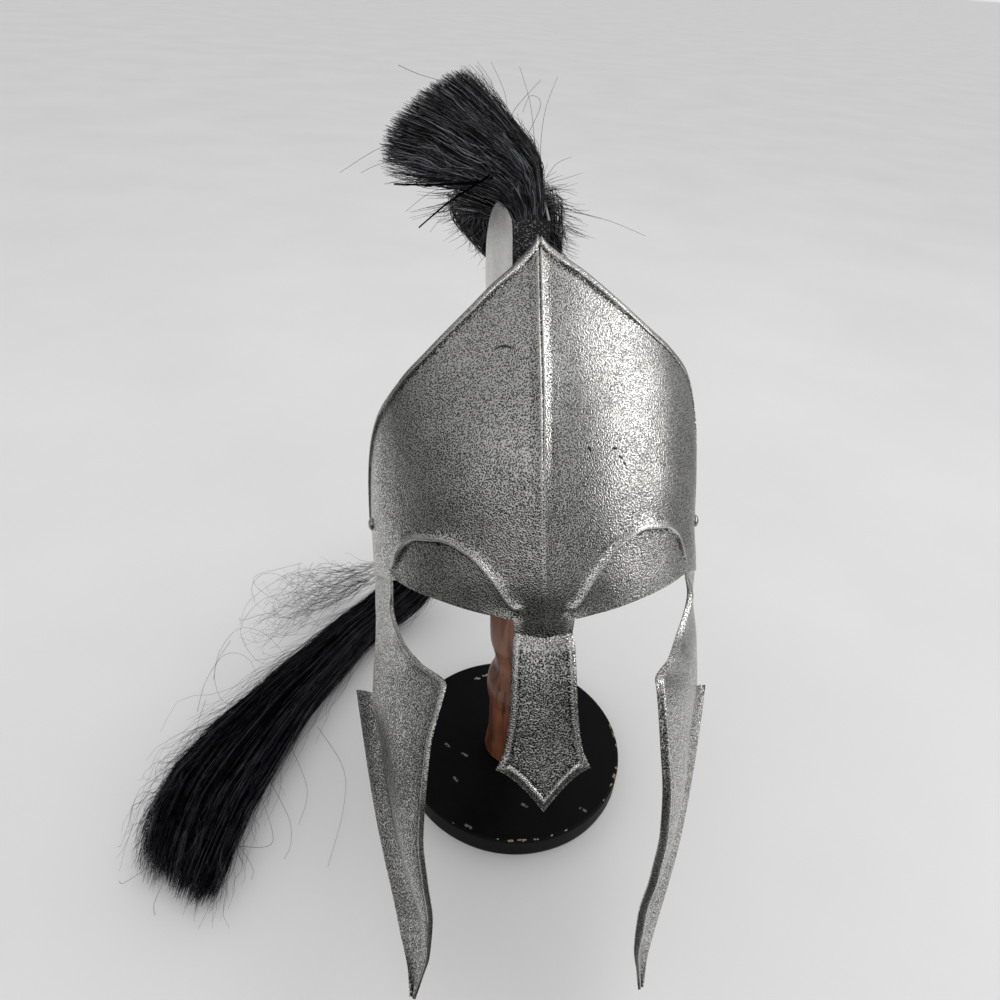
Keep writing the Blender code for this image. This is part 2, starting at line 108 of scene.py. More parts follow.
def new_material(name):
    """An empty procedural material, its shader, and the place on the object that its patterns follow."""
    made = bpy.data.materials.new(name)
    made.use_nodes = True
    tree = made.node_tree
    return made, tree.nodes["Principled BSDF"], add_node(tree, "ShaderNodeTexCoord").outputs["Object"]


def finish_with(shader, sockets):
    for socket, source in sockets.items():
        put(shader.inputs[socket], source)


def new_piece(name, mesh):
    made = bpy.data.objects.new(name, mesh)
    scene.collection.objects.link(made)
    return made


white_table, shader, place = new_material("white_table")
finish_with(shader, {
    "Base Color": ramp(cloud(place, 3.0, 3.0), (0.3, (0.80, 0.795, 0.79)), (0.7, (0.845, 0.84, 0.835))),
    "Roughness": 0.55, "Specular IOR Level": 0.25})

# The floor in parts, as x and y ranges; only the mirrored ones show in the metal.
MIRRORED = ("table_middle", "table_left", "table_right", "table_back")
wide = 80.0
floor_parts = {
    "table_middle": (-0.45, 0.45, -0.27, 0.25),
    "table_near": (-0.45, 0.45, -0.5, -0.27),
    "table_left": (-1.2, -0.45, -0.1, 2.5),
    "table_left_near": (-1.2, -0.45, -0.5, -0.1),
    "table_right": (0.45, 1.3, -0.5, 0.15),
    "table_right_far": (0.45, 1.3, 0.15, 2.5),
    "table_back": (-0.45, 0.45, 0.25, 2.5),
    "floor_front": (-wide, wide, -wide, -0.5),
    "floor_back": (-wide, wide, 2.5, wide),
    "floor_left": (-wide, -1.2, -0.5, 2.5),
    "floor_right": (1.3, wide, -0.5, 2.5),
}
for name, (x0, x1, y0, y1) in floor_parts.items():
    mesh = bpy.data.meshes.new(name)
    mesh.from_pydata([(x0, y0, 0), (x1, y0, 0), (x1, y1, 0), (x0, y1, 0)], [], [(0, 1, 2, 3)])
    mesh.materials.append(white_table)
    floor = new_piece(name, mesh)
    floor.visible_glossy = name in MIRRORED


def softbox(name, at, aim, size, radiance, upright=(0, 0, 1), diffuse=True, mirrored=True):
    """A flat rectangular light at `at` facing `aim`; its height runs along `upright`."""
    lamp = bpy.data.lights.new(name, "AREA")
    lamp.shape = "RECTANGLE"
    lamp.size, lamp.size_y = size
    lamp.energy = 4 * size[0] * size[1] * radiance
    made = new_piece(name, lamp)
    back = (Vector(at) - Vector(aim)).normalized()
    width = Vector(upright).cross(back).normalized()
    turned = Matrix((width, back.cross(width), back)).transposed()
    made.matrix_world = Matrix.Translation(at) @ turned.to_4x4()
    made.visible_diffuse = diffuse
    made.visible_glossy = mirrored


softbox("stripe_softbox", (1.62, -0.03, 1.12), (0, -0.15, 0.40), (0.44, 2.05), 3.9, upright=(-0.30, 1.30, 1.50),
        diffuse=False)
softbox("overhead_softbox", (0.73, 0.27, 2.2), (0, 0, 0.1), (1.1, 1.1), 1.6, mirrored=False)
softbox("ceiling_softbox", (0.42, -1.15, 2.3), (0, -0.15, 0.4), (0.75, 0.6), 3.0, diffuse=False)
softbox("front_softbox", (-0.2, -1.9, 1.25), (0, 0, 0.3), (1.3, 0.7), 0.60, mirrored=False)

# The room: an even glow for the diffuse light, and for what the metal mirrors one run of greys
# from the floor up for each side of it.
DIFFUSE_ROOM = (0.775, 0.78, 0.785)
world = bpy.data.worlds.new("room")
scene.world = world
world.use_nodes = True
room = world.node_tree
direction = add_node(room, "ShaderNodeTexCoord").outputs["Generated"]
facing = add_node(room, "ShaderNodeSeparateXYZ", [("Vector", direction)]).outputs
left_room, right_room, back_right_room, front_room = (ramp(facing["Z"], *stops) for stops in (
    ((0.0, 0.09), (0.10, 0.14), (0.22, 0.29), (0.5, 0.415), (0.87, 0.42), (1.0, 0.5)),
    ((0.0, 0.05), (0.17, 0.12), (0.35, 0.18), (0.6, 0.26), (0.87, 0.42), (1.0, 0.5)),
    ((0.0, 0.30), (0.1, 0.30), (0.3, 0.42), (0.55, 0.72), (0.8, 0.85), (1.0, 0.5)),
    ((0.0, 0.01), (0.10, 0.05), (0.26, 0.78), (0.5, 0.92), (0.72, 0.4), (1.0, 0.5))))
backward = ramp(facing["Y"], (0.0, 0.0), (0.45, 1.0))
rightward = ramp(times_plus(facing["X"], 0.5, 0.5), (0.42, 0.0), (0.75, 1.0))
frontward = ramp(times(facing["Y"], -1.0), (0.62, 0.0), (0.86, 1.0))
mirrored_room = mixed(rightward, left_room, mixed(backward, right_room, back_right_room))
mirrored_room = mixed(frontward, mirrored_room, front_room)
rays = add_node(room, "ShaderNodeLightPath")
sky = mixed(rays.outputs["Is Glossy Ray"], DIFFUSE_ROOM, mirrored_room)
put(room.nodes["Background"].inputs["Color"], sky)

# A wide lens, held above the helmet and turned a little.
SENSOR, LENS = 36, 27.72
CAMERA_AT = (-0.0285, -0.460, 0.620)
LOOK_DOWN = math.radians(35.2)
ROLL = math.radians(4.4)
ahead = Vector((0, math.cos(LOOK_DOWN), -math.sin(LOOK_DOWN)))
across = Vector((1, 0, 0))
upward = across.cross(ahead)
camera_x = across * math.cos(ROLL) + upward * math.sin(ROLL)
camera_y = -across * math.sin(ROLL) + upward * math.cos(ROLL)
camera = new_piece("camera", bpy.data.cameras.new("camera"))
camera.data.sensor_width = SENSOR
camera.data.lens = LENS
camera.data.clip_start = 0.01
camera.matrix_world = Matrix.Translation(CAMERA_AT) @ Matrix((camera_x, camera_y, -ahead)).transposed().to_4x4()
scene.camera = camera

# ------------------------------------------------------------------------------------------
# Base of the stand.
# A disc of board, its edge rounded over with sandpaper, rolled with black satin paint.
# Knocks have taken the paint off the top edge and show the tan board beneath.

BASE_RADIUS = 100
BASE_HEIGHT = 20
BASE_ROUND = 2.2
CHIP_DEPTH, EDGE_WOBBLE, SCUFF_HALF_WIDTH = 0.45, 0.25, 0.8


def clamp(value, low=0, high=1):
    return min(max(value, low), high)


def table(columns, *rows):
    """Rows of figures with named columns."""
    row_kind = namedtuple("Row", columns)
    return [row_kind(*row) for row in rows]


# Chips in the paint: direction round the disc, distance from its middle, half length, half width.
CHIPS = table(
    "direction radius half_length half_width",
    (117, 83, 5, 2.2), (109, 84, 7, 2.6), (101, 87, 4, 1.6), (16, 98.5, 4, 1.6), (10, 98.8, 6, 1.9),
    (3, 99, 3, 1.2), (-11, 98.8, 3, 1.4), (-17, 98.3, 5, 2.2), (-23, 98.6, 3, 1.6), (-33, 99, 2, 1.0),
    (-60, 98.6, 3, 0.9), (-68, 98.3, 2.5, 1.1), (-77, 98.5, 5, 1.1), (-83, 98.3, 5, 1.7),
    (-89, 98.3, 3.5, 1.7), (-95, 98.8, 2, 0.9), (-118, 98.8, 2, 1.2), (158, 98.8, 4, 1.4),
    (205, 98.6, 3, 1.3), (70, 98.6, 5, 1.3),
)

# Pale scuffs on the top, as short lines.
SCUFFS = [
    ((-61, -8, 20), (-58, -11, 20)), ((-45, -17, 20), (-41, -19, 20)), ((-50, -43, 20), (-47, -46, 20)),
    ((11, -64, 20), (15, -66, 20)), ((-36, -88, 20), (-32, -90, 20)), ((62, -64, 20), (66, -66, 20)),
]


def chip_depth(direction, radius):
    """How far inside a chip a point of the disc is: 1 at the middle, 0 at the edge of it."""
    deepest = -1
    for chip in CHIPS:
        along = (direction - chip.direction + 180) % 360 - 180
        along = math.radians(along) * chip.radius / chip.half_length
        out = (radius - chip.radius) / chip.half_width
        deepest = max(deepest, 1 - math.hypot(along, out))
    return deepest


def dress(piece, node, body="root"):
    """Hands a finished piece over to the frame in place of its plain solid."""
    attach(piece, body)
    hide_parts(*node)


def piece_from_rows(name, rows, closed=False):
    """A mesh object through rows of points in millimetres; closed rows join end to end."""
    count = len(rows[0])
    verts = [Vector(point) * MM for row in rows for point in row]
    faces = []
    for r in range(len(rows) - 1):
        for i in range(count if closed else count - 1):
            j = (i + 1) % count
            faces.append((r * count + i, r * count + j, (r + 1) * count + j, (r + 1) * count + i))
    mesh = bpy.data.meshes.new(name)
    mesh.from_pydata(verts, [], faces)
    return new_piece(name, mesh)


def turned_piece(name, profile, around):
    """A closed piece turned on a lathe from (radius, height) points."""
    turns = [2 * math.pi * i / around for i in range(around)]
    rows = [[(r * math.cos(turn), r * math.sin(turn), z) for turn in turns] for r, z in profile]
    return piece_from_rows(name, rows, closed=True)


def tidy_mesh(made, crease=35, merge=0.00002):
    """Closes seams and poles, turns faces outwards and smooths them, keeping sharp creases."""
    bm = bmesh.new()
    bm.from_mesh(made.data)
    bmesh.ops.remove_doubles(bm, verts=bm.verts, dist=merge)
    bmesh.ops.dissolve_degenerate(bm, edges=bm.edges, dist=merge / 2)
    bmesh.ops.recalc_face_normals(bm, faces=bm.faces)
    bm.to_mesh(made.data)
    bm.free()
    made.data.shade_smooth()
    made.data.set_sharp_from_angle(angle=math.radians(crease))


def vector_node(operation, output=0):
    return node_among("ShaderNodeVectorMath", operation, output)


def scaled(vector, factor):
    """A vector times a number; either may be a socket."""
    tree = (vector if isinstance(vector, bpy.types.NodeSocket) else factor).id_data
    return add_node(tree, "ShaderNodeVectorMath", [(0, vector), ("Scale", factor)], operation="SCALE").outputs[0]


def scratched(place, lines, half_width, squash):
    """1 on fine lines between points given in millimetres and 0 off them; `squash` scales each axis first."""
    flat = vector_node("MULTIPLY")(place, squash)
    nearest = 1.0
    for start, end in lines:
        start, end = Vector(start) * MM * squash, Vector(end) * MM * squash
        run = end - start
        reach = vector_node("SUBTRACT")(flat, start)
        part = vector_node("DOT_PRODUCT", "Value")(reach, run / run.length_squared)
        foot = scaled(run, least(most(part, 0.0), 1.0))
        nearest = least(nearest, vector_node("DISTANCE", "Value")(reach, foot))
    return ramp(over(nearest, 2 * half_width * MM), (0.5, 1.0), (1.0, 0.0))


def bumped(height, strength, distance, **below):
    """Small hills in the finish, over those of `below` if any are given."""
    links = [("Height", height), ("Strength", strength), ("Distance", distance), *below.items()]
    return add_node(height.id_data, "ShaderNodeBump", links).outputs["Normal"]


def read_attribute(place, name):
    return add_node(place.id_data, "ShaderNodeAttribute", attribute_name=name).outputs["Fac"]


def base_profile():
    """(radius, height) down the outside of the disc, from the middle of its top."""
    top = [(radius, BASE_HEIGHT) for radius in (0, 25, 45, 60, 70)]
    top += [(76 + i, BASE_HEIGHT) for i in range(22)]
    turned = []
    for i in range(7):
        turn = math.radians(90 - 15 * i)
        turned.append((BASE_RADIUS - BASE_ROUND + BASE_ROUND * math.cos(turn),
                       BASE_HEIGHT - BASE_ROUND + BASE_ROUND * math.sin(turn)))
    side = [(BASE_RADIUS, z) for z in (15.5, 12, 8, 4)]
    foot = [(BASE_RADIUS, 1.5), (BASE_RADIUS - 0.5, 0.5), (BASE_RADIUS - 1.5, 0), (50, 0), (0, 0)]
    return top + turned + side + foot


AROUND_BASE = 360
rows = []
chips = []
for radius, z in base_profile():
    row = []
    for i in range(AROUND_BASE):
        direction = 360 * i / AROUND_BASE
        turn = math.radians(direction)
        depth = chip_depth(direction, radius) if z > 10 else -1
        wobble = EDGE_WOBBLE * noise.noise(Vector((2.5 * math.cos(turn), 2.5 * math.sin(turn), z / 12)))
        sunk = CHIP_DEPTH * clamp(depth * 2)
        r = max(radius + (wobble if radius > 95 else 0) - (sunk if radius > 97 else 0), 0)
        r = min(r, BASE_RADIUS)
        row.append((r * math.cos(turn), r * math.sin(turn), z - (sunk * 0.6 if z >= BASE_HEIGHT - 1 else 0)))
        chips.append(depth)
    rows.append(row)
stand_base = piece_from_rows("stand_base_painted", rows, closed=True)
attribute = stand_base.data.attributes.new("chip", "FLOAT", "POINT")
attribute.data.foreach_set("value", chips)
tidy_mesh(stand_base)

black_paint, shader, place = new_material("chipped_black_paint")
ragged = cloud(place, 420.0, 4.0)
worn = plus(read_attribute(place, "chip"), times(minus(ragged, 0.55), 3.0))
bare = ramp(worn, (0.28, 0.0), (0.42, 1.0))
board = ramp(cloud(place, 900.0, 2.0), (0.3, (0.20, 0.14, 0.085)), (0.7, (0.46, 0.37, 0.26)))
scuff = times(scratched(place, SCUFFS, SCUFF_HALF_WIDTH, Vector((1, 1, 1))), ramp(ragged, (0.42, 0.0), (0.5, 1.0)))
dusty = cloud(place, 22.0, 5.0, Roughness=0.65)
paint = ramp(dusty, (0.35, (0.0016, 0.0016, 0.0025)), (0.75, (0.0036, 0.0036, 0.0048)))
gloss = ramp(dusty, (0.3, 0.42), (0.75, 0.60))
finish_with(shader, {
    "Base Color": mixed(bare, mixed(scuff, paint, (0.16, 0.155, 0.15)), board),
    "Roughness": mixed(bare, gloss, (0.85, 0.85, 0.85)), "Specular IOR Level": 0.10,
    "Normal": bumped(minus(times(dusty, 0.3), times(bare, 0.8)), 0.5, 0.0006)})
stand_base.data.materials.append(black_paint)
dress(stand_base, ["stand_base"])

# ------------------------------------------------------------------------------------------
# Post of the stand.
# Hardwood turned on a lathe with one waist and a domed top, stained reddish brown and
# varnished.  Fine rings are left by the chisel.

POST_FOOT = 20.3
POST_TOP = 429.7
POST_DOME = 23.5
CHISEL_DEPTH, RING_STEP = 0.05, 1.4
POST_LEVELS = table(
    "z radius",
    (POST_FOOT, 25.5), (30, 24.6), (43, 23.3), (72, 23.8), (86, 24.8), (92, 26.4), (104, 27.8), (112, 27.2),
    (121, 24.6), (129, 22.4), (137, 22.6), (147, 25), (160, 28), (185, 29.4), (230, 27.5), (290, 25),
    (350, 24), (395, 23.5),
)


def smooth(levels, column, where):
    """Value of a column at `where` in the first column, on a smooth curve."""
    keys = [row[0] for row in levels]
    where = clamp(where, keys[0], keys[-1])
    last = len(keys) - 2
    i = max(j for j in range(last + 1) if keys[j] <= where)
    value = [getattr(levels[j], column) for j in range(max(i - 1, 0), min(i + 3, last + 2))]
    key = keys[max(i - 1, 0):min(i + 3, last + 2)]
    at = 1 if i > 0 else 0
    slopes = [(value[j + 1] - value[j]) / (key[j + 1] - key[j]) for j in range(len(key) - 1)]

    def tangent(before, after):
        if before * after <= 0:
            return 0.0
        return 2 * before * after / (before + after)

    width = key[at + 1] - key[at]
    start = width * (tangent(slopes[at - 1], slopes[at]) if i > 0 else slopes[at])
    end = width * (tangent(slopes[at], slopes[at + 1]) if i < last else slopes[at])
    t = (where - key[at]) / width
    rise = value[at + 1] - value[at]
    return value[at] + t * start + t * t * (3 * rise - 2 * start - end) + t ** 3 * (start + end - 2 * rise)


profile = [(0, POST_FOOT), (24.6, POST_FOOT)]
z = POST_FOOT + 0.6
while z < POST_LEVELS[-1].z:
    chisel = CHISEL_DEPTH * math.sin(z * 2.1)
    profile.append((smooth(POST_LEVELS, "radius", z) + chisel - CHISEL_DEPTH, z))
    z += RING_STEP
dome_foot = POST_TOP - POST_DOME
profile.append((POST_DOME, dome_foot - 6))
for i in range(15):
    turn = math.radians(90 * i / 14)
    profile.append((POST_DOME * math.cos(turn), dome_foot + POST_DOME * math.sin(turn)))
stand_post = turned_piece("stand_post_turned", profile, around=72)
tidy_mesh(stand_post, crease=50)

varnished_wood, shader, place = new_material("varnished_brown_wood")
upright = add_node(place.id_data, "ShaderNodeMapping", [("Vector", place), ("Scale", (1.0, 1.0, 0.07))]).outputs[0]
grain = cloud(upright, 260.0, 5.0, Distortion=0.4)
wood = ramp(cloud(upright, 55.0, 2.0), (0.3, (0.13, 0.042, 0.020)), (0.5, (0.25, 0.090, 0.042)),
            (0.72, (0.36, 0.15, 0.072)))
wood = mixed(1.0, wood, ramp(grain, (0.38, 0.42), (0.52, 1.0)), "MULTIPLY")
stain = ramp(cloud(place, 24.0, 2.0), (0.35, 0.72), (0.65, 1.05))
finish_with(shader, {
    "Base Color": mixed(1.0, wood, stain, "MULTIPLY"), "Roughness": 0.45, "Coat Weight": 0.35,
    "Coat Roughness": 0.22, "Normal": bumped(grain, 0.25, 0.0004)})
stand_post.data.materials.append(varnished_wood)
dress(stand_post, ["stand_post"])

# ------------------------------------------------------------------------------------------
# Bowl of the helmet.
# Steel sheet raised over a form into one long dome, low at the nape.  Its rim flares out a
# little at the nape and the whole is sprayed with a silver-vein coating that dries in a dark fine grain.

SHEET = 1.5
FILED = 0.45
LEAN_BACK, LEAN_SIDE, TURN = 26.4, 2.3, 5.2
HELMET_AT = (-2.6, -31.2, 250.7)
helmet_pose = Matrix.Translation(Vector(HELMET_AT) * MM) @ Euler(
    [math.radians(a) for a in (-LEAN_BACK, -LEAN_SIDE, TURN)]).to_matrix().to_4x4()

BOWL_HALF_WIDTH = 107.3
BOWL_CENTRE_Y = -5
BOWL_FRONT = 100
BOWL_BACK = 117
BOWL_SQUARENESS = 2.2
BOWL_WIDEST_Z = 50
BOWL_CROWN_Z = 200
BOWL_CROWN_SHIFT = 14
BOWL_RIM_FRONT = 24
BOWL_RIM_BACK = -38
NAPE_FLARE = 0.07
BOWL_WAVE, BOWL_WAVE_SPAN = 0.35, 26

FLECK_FINENESS, FLECK_SCATTER, WORN_AND_SHADE_SHARE, MARK_HALF_WIDTH = 1050.0, 0.95, 0.26, 0.38


def warm_grey(grey):
    return grey, grey * 0.985, grey * 0.95


def hammered_silver(name, cover_from, cover_to, pale_grey, marks=()):
    """Silver-vein coating: pale metal with a dense dark fleck, over a faintly uneven sheet."""
    made, shader, place = new_material(name)
    fleck = add_node(place.id_data, "ShaderNodeTexVoronoi", [
        ("Vector", place), ("Scale", FLECK_FINENESS), ("Randomness", FLECK_SCATTER)]).outputs["Distance"]
    broad = cloud(place, 45.0, 3.0)
    # The face plate's "worn" attribute lightens edges rubbed bright, and darkens its hollows, the nose guard and the
    # cheek pieces with painted shade.
    spotted = times_plus(read_attribute(place, "worn"), WORN_AND_SHADE_SHARE, fleck)
    spotted = plus(spotted, times(minus(broad, 0.5), 0.12))
    pale = ramp(broad, (0.35, warm_grey(pale_grey - 0.04)), (0.65, warm_grey(pale_grey + 0.03)))
    cover = ramp(spotted, (cover_from, 0.0), (cover_to, 1.0))
    colour = mixed(cover, (0.015, 0.015, 0.017), pale)
    if marks:
        colour = mixed(scratched(place, marks, MARK_HALF_WIDTH, Vector((1, 0.25, 1))), colour, (0.03, 0.03, 0.03))
    finish_with(shader, {
        "Base Color": colour, "Metallic": 0.95, "Roughness": ramp(cover, (0.0, 0.36), (1.0, 0.26)),
        "Normal": bumped(spotted, 0.4, 0.00042, Normal=bumped(cloud(place, 85.0, 1.0), 0.2, 0.0010))})
    return made


SHEET_MARKS = [
    ((-37.9, -53.1, 437.9), (-34.7, -52.8, 439.7)), ((-34.7, -52.8, 439.7), (-31.8, -53.3, 440.4)),
    ((-31.8, -53.3, 440.4), (-29.0, -54.7, 440.2)), ((-15.6, -103.2, 379.1), (-15.2, -103.9, 378.0)),
    ((19, -87, 397), (20.5, -87, 395)), ((34, -80, 394), (36, -80, 393.5)), ((38, -81, 389.5), (40, -81, 388)),
    ((41, -82, 386), (42.5, -82, 384.5)), ((42, -106, 342), (44, -106, 340)),
]
silver_sheet = hammered_silver("hammered_silver_sheet", 0.26, 0.62, 0.67, SHEET_MARKS)


def signed_power(value, power):
    return math.copysign(abs(value) ** power, value)


def bowl_point(azimuth, climb):
    """Outer face of the bowl; azimuth 0 is the front, climb -1 the rim and 1 the crown."""
    power = 2 / BOWL_SQUARENESS
    ahead = math.cos(azimuth)
    x = BOWL_HALF_WIDTH * signed_power(math.sin(azimuth), power)
    y = -(BOWL_FRONT if ahead > 0 else BOWL_BACK) * signed_power(ahead, power)
    if climb >= 0:
        turn = climb * math.pi / 2
        shrink = max(math.cos(turn), 0.0)
        z = BOWL_WIDEST_Z + (BOWL_CROWN_Z - BOWL_WIDEST_Z) * math.sin(turn) ** 0.95
        return Vector((x * shrink, BOWL_CENTRE_Y + BOWL_CROWN_SHIFT * climb + y * shrink ** 0.9, z))
    backness = ((1 - ahead) / 2) ** 1.4
    rim_z = BOWL_RIM_FRONT + (BOWL_RIM_BACK - BOWL_RIM_FRONT) * backness
    z = BOWL_WIDEST_Z + (BOWL_WIDEST_Z - rim_z) * climb
    sweep = 1 + backness * (NAPE_FLARE * climb ** 2 - 0.05 * math.sin(-climb * math.pi)) - 0.02 * climb ** 2
    return Vector((x * sweep, BOWL_CENTRE_Y + y * sweep, z))


def finish_sheet(made):
    """Gives a curved sheet its thickness, inwards, and softens its cut edges."""
    if not made.data.materials:
        made.data.materials.append(silver_sheet)
    made.data.transform(helmet_pose)
    wall = made.modifiers.new("thickness", "SOLIDIFY")
    wall.thickness = SHEET * MM
    wall.offset = -1
    wall.use_even_offset = True
    edge = made.modifiers.new("filed_edge", "BEVEL")
    edge.width = FILED * MM
    edge.segments = 2
    edge.limit_method = "ANGLE"
    edge.angle_limit = math.radians(60)


def uneven(point, depth, span):
    """Slow unevenness left in hand-worked sheet: depth and span in millimetres."""
    return depth * noise.noise(Vector(point) / span)


AROUND_BOWL = 120
climbs = [-1 + i / 16 for i in range(16)] + [i / 44 for i in range(43)] + [0.973, 0.988, 1.0]
rows = []
for climb in climbs:
    row = []
    for i in range(AROUND_BOWL):
        azimuth = 2 * math.pi * i / AROUND_BOWL
        point = bowl_point(azimuth, climb)
        out = Vector((point.x, point.y - BOWL_CENTRE_Y, (point.z - BOWL_WIDEST_Z) * 0.7)).normalized()
        row.append(point + out * (uneven(point, BOWL_WAVE, BOWL_WAVE_SPAN) - BOWL_WAVE))
    rows.append(row)
bowl = piece_from_rows("bowl_dome", rows, closed=True)
tidy_mesh(bowl)
finish_sheet(bowl)
dress(bowl, ["bowl"])

# ------------------------------------------------------------------------------------------
# Face plate.
# One front of steel sheet, cut, folded down its middle and bent round the face: a tall visor
# with a beaded rim and pressed brow arcs, a spade-shaped nose guard and two long cheek pieces.

# Directions round the visor, in degrees: the middle fold, the nose guard's edge, where the side
# strip begins and where the temple ends.
CREASE_ANGLE, NASAL_ANGLE, STRIP_ANGLE, TEMPLE_ANGLE = 14.0, 21.5, 63.5, 88.0

VISOR_LEVELS = table(
    "z crease_y side_y half_width",
    (-20, -117, -20, 109), (0, -119.5, -20, 109), (30, -124, -20, 110.5), (70, -124, -20, 111),
    (100, -122.5, -18, 110.5), (132, -118, -12, 108), (170, -105, -4, 102.5), (200, -89.5, 2, 96),
    (226, -72, 8, 88),
)
VISOR_EDGES = table(
    "angle brow arc rim skew",
    (14, 4, 9, 226, 0), (21.5, 5, 12, 211, 3), (26.5, 6.5, 26, 203, 4.5), (33, 8.5, 40, 191, 6),
    (42, 12, 47.7, 175.5, 7), (49, 14.3, 47.5, 164.5, 8), (55, 16.3, 42, 156.5, 9),
    (60.5, 18.6, 29.5, 148.5, 10), (63.5, 19.3, 24.5, 144.5, 10.5), (70, 17.5, 22, 135, 11),
    (76, 15, 19.5, 121, 11), (82, 13, 17.5, 99, 9), (88, 12, 16.5, 58, 5),
)
ARC_RAISED = table(
    "angle right left",
    (21.5, 0, 0), (27, 3, 2), (33, 6, 2.5), (42, 7, 1), (50, 6, 0), (56, 6, 0), (63.5, 3, 0), (72, 0, 0),
)
TEMPLE_SPREAD, EYE_RECESS, GROOVE_ENDS, PLAIN_ROWS = 6, 1.7, 46, 28
NASAL_LEVELS = table(
    "step half_width edge_y edge_z centre_y centre_z",
    (0, 17.2, -112.5, -4, -116, -6), (1, 18.5, -114.3, -11, -117.8, -12), (2, 19.4, -117.5, -32, -121, -33),
    (3, 20.6, -118.5, -54, -122, -58), (4, 24, -119.5, -76, -123, -88), (5, 28.5, -120, -86, -124.5, -111),
)
NASAL_HOLLOW = 1.5
# The side strip and cheek piece: front edge, valley beside the flange, outer edge of the flange
# and how far the sheet bulges between; the strip's levels differ from side to side.
UPPER_LEVELS = {
    -1: table("front valley bulge", ((94.5, -60, -2.5), (109.6, -24, -12), 0), ((86, -82, -18), (109.2, -31, -30), 1),
              ((73.5, -103, -25), (109.7, -40, -47), 3), ((58, -122, -31), (110, -50, -66), 5)),
    1: table("front valley bulge", ((100.5, -60, 2), (114.2, -24, -8), 0), ((87.3, -82, -18), (115.2, -31, -30), 1),
             ((77, -103, -25), (114, -40, -47), 3), ((65, -122, -31), (112, -50, -66), 5)),
}
CHEEK_LEVELS = table(
    "front valley edge bulge",
    ((65, -122, -33), (110, -50, -66), (120, -42, -68), 5),
    ((67, -131, -65), (104, -63, -90), (115, -52, -92), 6),
    ((69.5, -134, -95), (98, -75, -115), (109.5, -62, -117), 6),
    ((70.5, -132, -122), (91.5, -86, -139), (103.5, -72, -141), 5),
    ((67, -132, -150), (83, -97, -163), (97, -81, -166), 4),
    ((63, -127, -180), (73.5, -106, -188), (90.5, -87, -190), 2),
    ((64, -121, -207), (70, -110, -210), (84, -92, -214), 0.5),
    ((69, -114, -230), (72.5, -108, -232), (77.5, -101, -233), 0),
    ((73, -109.5, -246), (74, -108.7, -246.2), (75.5, -107.5, -246), 0),
)
LEFT_FLANGE_OUT = (2, 4)
CHEEK_SWAY, CHEEK_SWAY_POWER = 9, 1.7
CHEEK_STEPS, FLANGE_GROOVE, FLANGE_LIP = 7, 0.9, 0.5

# Reliefs pressed into the sheet, as (distance, height): the rim's bead, measured from the cut
# edge inwards; the brow arc, measured up from its line; and the ridge beside the middle fold.
RIM_BEAD = [(0, 1.0), (1.2, 1.8), (3.1, 2.1), (3.7, 1.7), (4.6, -0.3), (5.6, -0.45), (8.5, 0.0)]
NOSE_BEAD = [(0, -0.1), (0.8, 0.5), (1.6, 0.75), (3.2, 0.8), (4.6, 0.15), (5.2, 0.0), (6.5, 0.0)]
NOSE_END_BEAD = [(0, 0.0), (2, 1.2), (4, 1.7), (5, 1.2), (5.8, -0.2), (6.5, 0.0)]
CHEEK_BEAD = {
    -1: [(0, 0.0), (0.5, 0.8), (1.5, 1.6), (2.6, 1.9), (3.6, 1.0), (4.2, -0.3), (5.0, -0.6), (5.8, -0.3), (7.5, 0.0)],
    1: [(0, -0.8), (0.5, 0.0), (2.6, 2.2), (3.6, 2.5), (4.2, 2.2), (5.0, 0.9), (5.8, 0.2), (7.5, 0.0)],
}
ARC_STEP = [(-0.9, -1.7), (0.3, 1.5), (1.0, 2.1), (1.8, 2.0), (5.2, 0.3), (10, 0.0)]
RIDGE = [(0, 0.9), (0.5, 1.7), (1.1, 1.75), (2.4, 1.15), (5.5, 0.0)]
# How far from the cut edge the mesh has a row along each bead, and the most that a slanting
# rim or arc may stretch its rows.
BEAD_STOPS = [0, 0.6, 1.2, 2.2, 3.1, 3.4, 3.7, 4.15, 4.6, 5.1, 5.6, 7, 8.5, 9.5]
NOSE_BEAD_STOPS = (6.5, 5.7, 5, 4, 3, 2, 1, 0)
RIM_STRETCH, ARC_STRETCH = 3.2, 1.7


def relief(profile, where):
    """Height of a relief at a distance, in straight lines between its points."""
    if where <= profile[0][0]:
        return profile[0][1]
    for (near, low), (far, high) in zip(profile, profile[1:]):
        if where <= far:
            return low + (high - low) * (where - near) / (far - near)
    return profile[-1][1]


def visor_surface(angle, z):
    """A point of the plain visor, before its reliefs are raised."""
    crease_y = smooth(VISOR_LEVELS, "crease_y", z)
    side_y = smooth(VISOR_LEVELS, "side_y", z)
    half_width = smooth(VISOR_LEVELS, "half_width", z)
    start = math.radians(CREASE_ANGLE)
    turn = math.radians(angle)
    x = half_width * (math.sin(turn) - math.sin(start)) / (1 - math.sin(start))
    y = side_y - (side_y - crease_y) * math.cos(turn) / math.cos(start)
    return Vector((x, y, z))


def visor_normal(angle, z):
    across = visor_surface(angle + 0.5, z) - visor_surface(angle - 0.5, z)
    up = visor_surface(angle, z + 1) - visor_surface(angle, z - 1)
    return across.cross(up).normalized()


def nose_stops(half_width):
    """Distances from the middle fold across half of the nose guard, close at both edges."""
    ridge = [0, 0.25, 0.5, 0.9, 1.4, 2.4, 3.8, 5.5]
    bead = [half_width - e for e in NOSE_BEAD_STOPS]
    gap = bead[0] - ridge[-1]
    return ridge + [ridge[-1] + gap * f for f in (0.33, 0.66)] + bead


